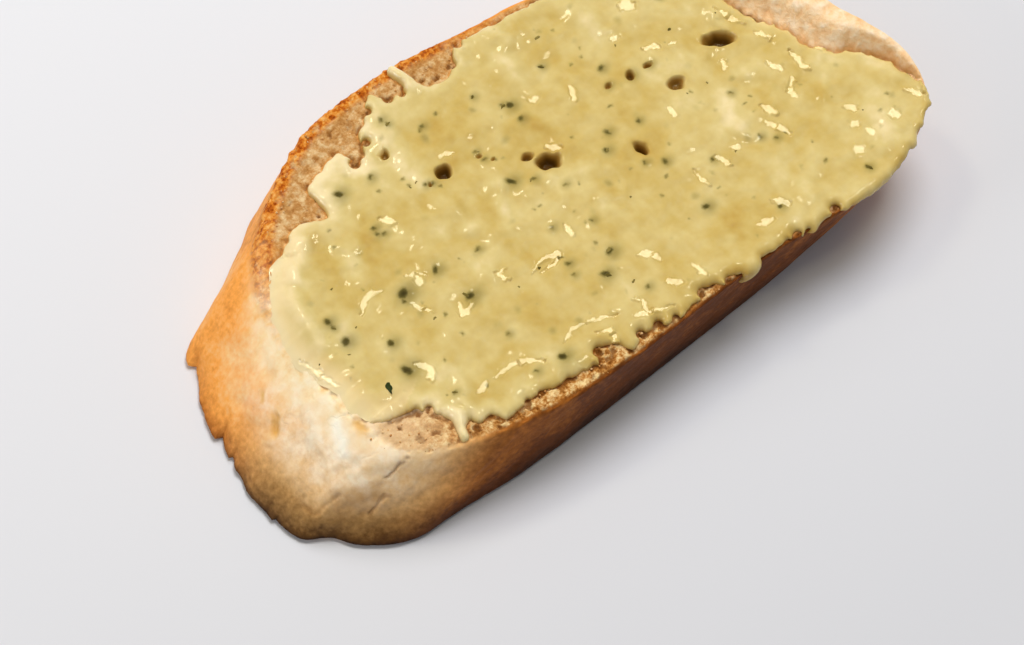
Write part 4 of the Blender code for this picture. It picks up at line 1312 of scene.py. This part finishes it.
def herbRows():
    # x, y, half length, half width and degrees of each leaf piece
    draw = random.Random(herbs["seed"])
    rows = []
    for x, y, radius in butter["flecks"]:
        if radius > 0.45 and draw.random() < herbs["standing"]:
            size = radius * draw.uniform(0.45, 0.75)
            x, y = x + draw.gauss(0, radius * 0.3), y + draw.gauss(0, radius * 0.3)
            rows.append((x, y, size * draw.uniform(1.1, 1.9), size * 0.7, draw.uniform(0, 180)))
    for _ in range(herbs["scattered"]):
        x, y = draw.uniform(-52, 52), draw.uniform(-17, 46)
        if insideButter(np.array([x]), np.array([y]))[0] >= 0.7:
            size = draw.uniform(0.14, 0.30)
            rows.append((x, y, size * draw.uniform(1.0, 1.8), size, draw.uniform(0, 180)))
    rows.append(herbs["largeLeaf"])
    rows = [row for row in rows if all(math.dist(row[:2], pore[:2]) > pore[2] * 1.2 for pore in pores)]
    return rows, draw


def makeHerbs(tree, top):
    rows, draw = herbRows()
    points, faces, tones = [], [], []
    sides = herbs["sides"]
    for x, y, length, width, degrees in rows:
        near = [i for _, i, _ in tree.find_range((x, y, 0), 0.7)]
        if len(near) < 4:
            continue
        # the leaf lies along the butter's slope there
        spots = top[near]
        across = np.c_[spots[:, 0] - x, spots[:, 1] - y, np.ones(len(near))]
        slopeX, slopeY, height = np.linalg.lstsq(across, spots[:, 2], rcond=None)[0]
        cosine, sine = math.cos(math.radians(degrees)), math.sin(math.radians(degrees))
        tone = draw.uniform(0.35, 1.0) if length < 1.6 else 0.0
        curl = draw.uniform(-0.25, 0.25)
        first = len(points)
        ragged = [draw.uniform(0.55, 1.15) for _ in range(sides)]
        for level, reach in herbs["levels"]:
            for k in range(sides):
                angle = 2 * math.pi * k / sides
                a = length * reach * ragged[k] * math.cos(angle)
                b = width * reach * ragged[k] * math.sin(angle) + curl * a**2 / length
                dx, dy = a * cosine - b * sine, a * sine + b * cosine
                lift = level + 0.04 * math.sin(angle * 2 + tone * 9) * reach
                points.append((x + dx, y + dy, height + dx * slopeX + dy * slopeY + lift))
        points.append((x, y, height + 0.055))
        points.append((x, y, height - 0.14))
        for k in range(sides):
            after = (k + 1) % sides
            for level in (0, 1):
                low, high = first + level * sides, first + (level + 1) * sides
                faces.append((low + k, low + after, high + after, high + k))
            faces.append((first + 2 * sides + k, first + 2 * sides + after, first + 3 * sides))
            faces.append((first + after, first + k, first + 3 * sides + 1))
        tones += [tone] * (3 * sides + 2)
    piece = addMesh("chopped_herbs", points, faces, herbMaterial(), {"tone": tones})
    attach(piece, "root")
    print("herbs:", len(rows))


# loose crumbs on the bare rim
crumbs = {
    "count": 210,
    "size": (0.08, 0.24),
    "turns": ((0.25, 0.44), (0.57, 0.80)),  # stretches of the rim that they lie on
    "reach": (0.2, 6.0),  # mm inside the rim
    "seed": 3,
    "mottle": (0.4, 3.0, 0.6),  # size in mm, detail, roughness
    "tones": ((0.0, "#B4763A"), (0.45, "#D09A58"), (1.0, "#EAC894")),
}


def crumbMaterial():
    # toasted bread, broken small: dry and dull, pale tan to brown
    material, tree = newMaterial("toasted_crumbs")
    where = addNode(tree, "TexCoord", out="Object")
    tone = addNode(tree, "Attribute", out="Fac", attribute_name="tone")
    size, detail, rough = crumbs["mottle"]
    inputs = {"Vector": where, "Scale": 1 / (size * mm), "Detail": detail, "Roughness": rough}
    mottle = addNode(tree, "TexNoise", inputs)
    colour = addNode(tree, "ValToRGB", {"Fac": varied(tree, tone, mottle, 0.4)}, stops=crumbs["tones"])
    shader = addNode(tree, "BsdfPrincipled", {"Base Color": colour, "Roughness": 0.75})
    addNode(tree, "OutputMaterial", {"Surface": shader})
    return material


def crumbShape():
    # a regular solid of twelve corners, and its faces turned outwards
    golden = (1 + math.sqrt(5)) / 2
    corners = []
    for a in (-1, 1):
        for b in (-golden, golden):
            corners += [(0, a, b), (a, b, 0), (b, 0, a)]
    corners = np.array(corners, float) / math.hypot(1, golden)
    gaps = np.linalg.norm(corners[:, None] - corners[None], axis=2)
    faces = []
    for i, j, k in itertools.combinations(range(len(corners)), 3):
        if max(gaps[i, j], gaps[j, k], gaps[i, k]) < 1.1:
            facing = np.dot(np.cross(corners[j] - corners[i], corners[k] - corners[i]), corners[i])
            faces.append((i, j, k) if facing > 0 else (k, j, i))
    return corners, faces


def makeCrumbs():
    draw = random.Random(crumbs["seed"])
    corners, ball = crumbShape()
    smallest, largest = crumbs["size"]
    points, faces, tones = [], [], []
    placed = 0
    while placed < crumbs["count"]:
        turn = np.array([draw.uniform(*draw.choice(crumbs["turns"]))])
        inset = np.array([draw.uniform(*crumbs["reach"])])
        spot = rimAt(turn) - normalAt(turn) * inset[:, None]
        if insideButter(spot[:, 0], spot[:, 1])[0] > -0.1:
            continue
        foot = surfacePoints(turn, inset, spot[:, 0], spot[:, 1])[0]
        size = smallest + (largest - smallest) * draw.random() ** 2
        stretch = np.array([draw.uniform(0.7, 1.4), draw.uniform(0.7, 1.4), draw.uniform(0.5, 0.9)]) * size
        rough = np.array([draw.uniform(0.75, 1.2) for _ in corners])[:, None]
        first = len(points)
        points += list(corners * rough * stretch + foot + (0, 0, -0.1 * size))
        faces += [tuple(first + i for i in face) for face in ball]
        tones += [draw.random()] * len(corners)
        placed += 1
    piece = addMesh("toast_crumbs", points, faces, crumbMaterial(), {"tone": tones})
    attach(piece, "root")
    print("crumbs:", placed)


# floor, light and camera
stage = {
    "cameraTarget": (-0.013896, -0.011767, 0.00736),  # metres, as are the lamps' places and widths
    "elevation": 62.0,
    "azimuth": -40.5,
    "distance": 0.552,
    "lens": 125.0,
    "lamps": {  # place from the slice, width, watts, colour, seen in gloss
        "key": ((0.450, 0.255, 1.080), 0.68, 10.5, "#FCFDFF", False),
        "left": ((-0.75, -0.35, 1.00), 0.60, 0.6, "#FFFCF8", True),
        "low": ((-1.10, 0.38, 0.48), 0.50, 3.9, "#FFF9F0", True),
        "glintBack": ((-0.12, 0.668, 1.073), 0.23, 1.7, "#FFF8D6", True),
        "glintTop": ((0.39, -0.15, 1.21), 0.21, 1.5, "#FFF8D6", True),
    },
    "fill": 0.235,
    "fillColour": "#F4F6FB",
    "floorSize": 6.0,
    "floorDrop": 0.0002,
    # paper tones from front to back; the brighter back is painted light
    "paper": ((0.0, "#D3D3D8"), (1.0, "#E5E5EA")),
}


def paperMaterial():
    # smooth uncoated paper: dull, a shade cooler than white, painted brighter towards the back as painted
    # light
    material, tree = newMaterial("pale_paper")
    where = addNode(tree, "TexCoord", out="Object")
    # broad clouds, as real pulp is too fine to show
    inputs = {"Vector": where, "Scale": 1 / (180.0 * mm), "Detail": 2.0, "Roughness": 0.5}
    pulp = addNode(tree, "TexNoise", inputs)
    # the back painted brighter than the front: painted light
    depth = addNode(tree, "SeparateXYZ", {"Vector": where}, out="Y")
    back = addNode(tree, "MapRange", {"Value": depth, "From Min": -0.09, "From Max": 0.09})
    colour = addNode(tree, "ValToRGB", {"Fac": varied(tree, back, pulp, 0.1)}, stops=stage["paper"])
    inputs = {"Base Color": colour, "Roughness": 0.9, "Specular IOR Level": 0.2}
    shader = addNode(tree, "BsdfPrincipled", inputs)
    addNode(tree, "OutputMaterial", {"Surface": shader})
    return material


def makeStage():
    bpy.ops.mesh.primitive_plane_add(size=stage["floorSize"], location=(0, 0, -stage["floorDrop"]))
    floor = bpy.context.object
    floor.name = "floor"
    floor.data.materials.append(paperMaterial())
    for name, (place, width, watts, colour, glossy) in stage["lamps"].items():
        light = bpy.data.lights.new(name, "AREA")
        light.shape = "DISK"
        light.size = width
        light.energy = watts
        light.color = hexColour(colour)[:3]
        holder = bpy.data.objects.new(name, light)
        holder.location = place
        holder.rotation_euler = Vector(place).to_track_quat("Z", "Y").to_euler()
        holder.visible_glossy = glossy
        bpy.context.scene.collection.objects.link(holder)
    world = bpy.data.worlds.new("studio")
    world.use_nodes = True
    sky = world.node_tree.nodes["Background"]
    sky.inputs["Color"].default_value = hexColour(stage["fillColour"])
    sky.inputs["Strength"].default_value = stage["fill"]
    bpy.context.scene.world = world
    bpy.context.scene.view_settings.view_transform = "Standard"
    camera = bpy.data.cameras.new("camera")
    camera.lens = stage["lens"]
    camera.sensor_width = 36.0
    camera.clip_start = 0.01
    holder = bpy.data.objects.new("camera", camera)
    lift, side = math.radians(stage["elevation"]), math.radians(stage["azimuth"])
    back = Vector((math.sin(side) * math.cos(lift), -math.cos(side) * math.cos(lift), math.sin(lift)))
    holder.location = Vector(stage["cameraTarget"]) + back * stage["distance"]
    holder.rotation_euler = (math.pi / 2 - lift, 0, side)
    bpy.context.scene.collection.objects.link(holder)
    bpy.context.scene.camera = holder
    print("stage set")


makeStage()
makeBread()
butterTree, butterTop = makeButter()
makeHerbs(butterTree, butterTop)
makeCrumbs()
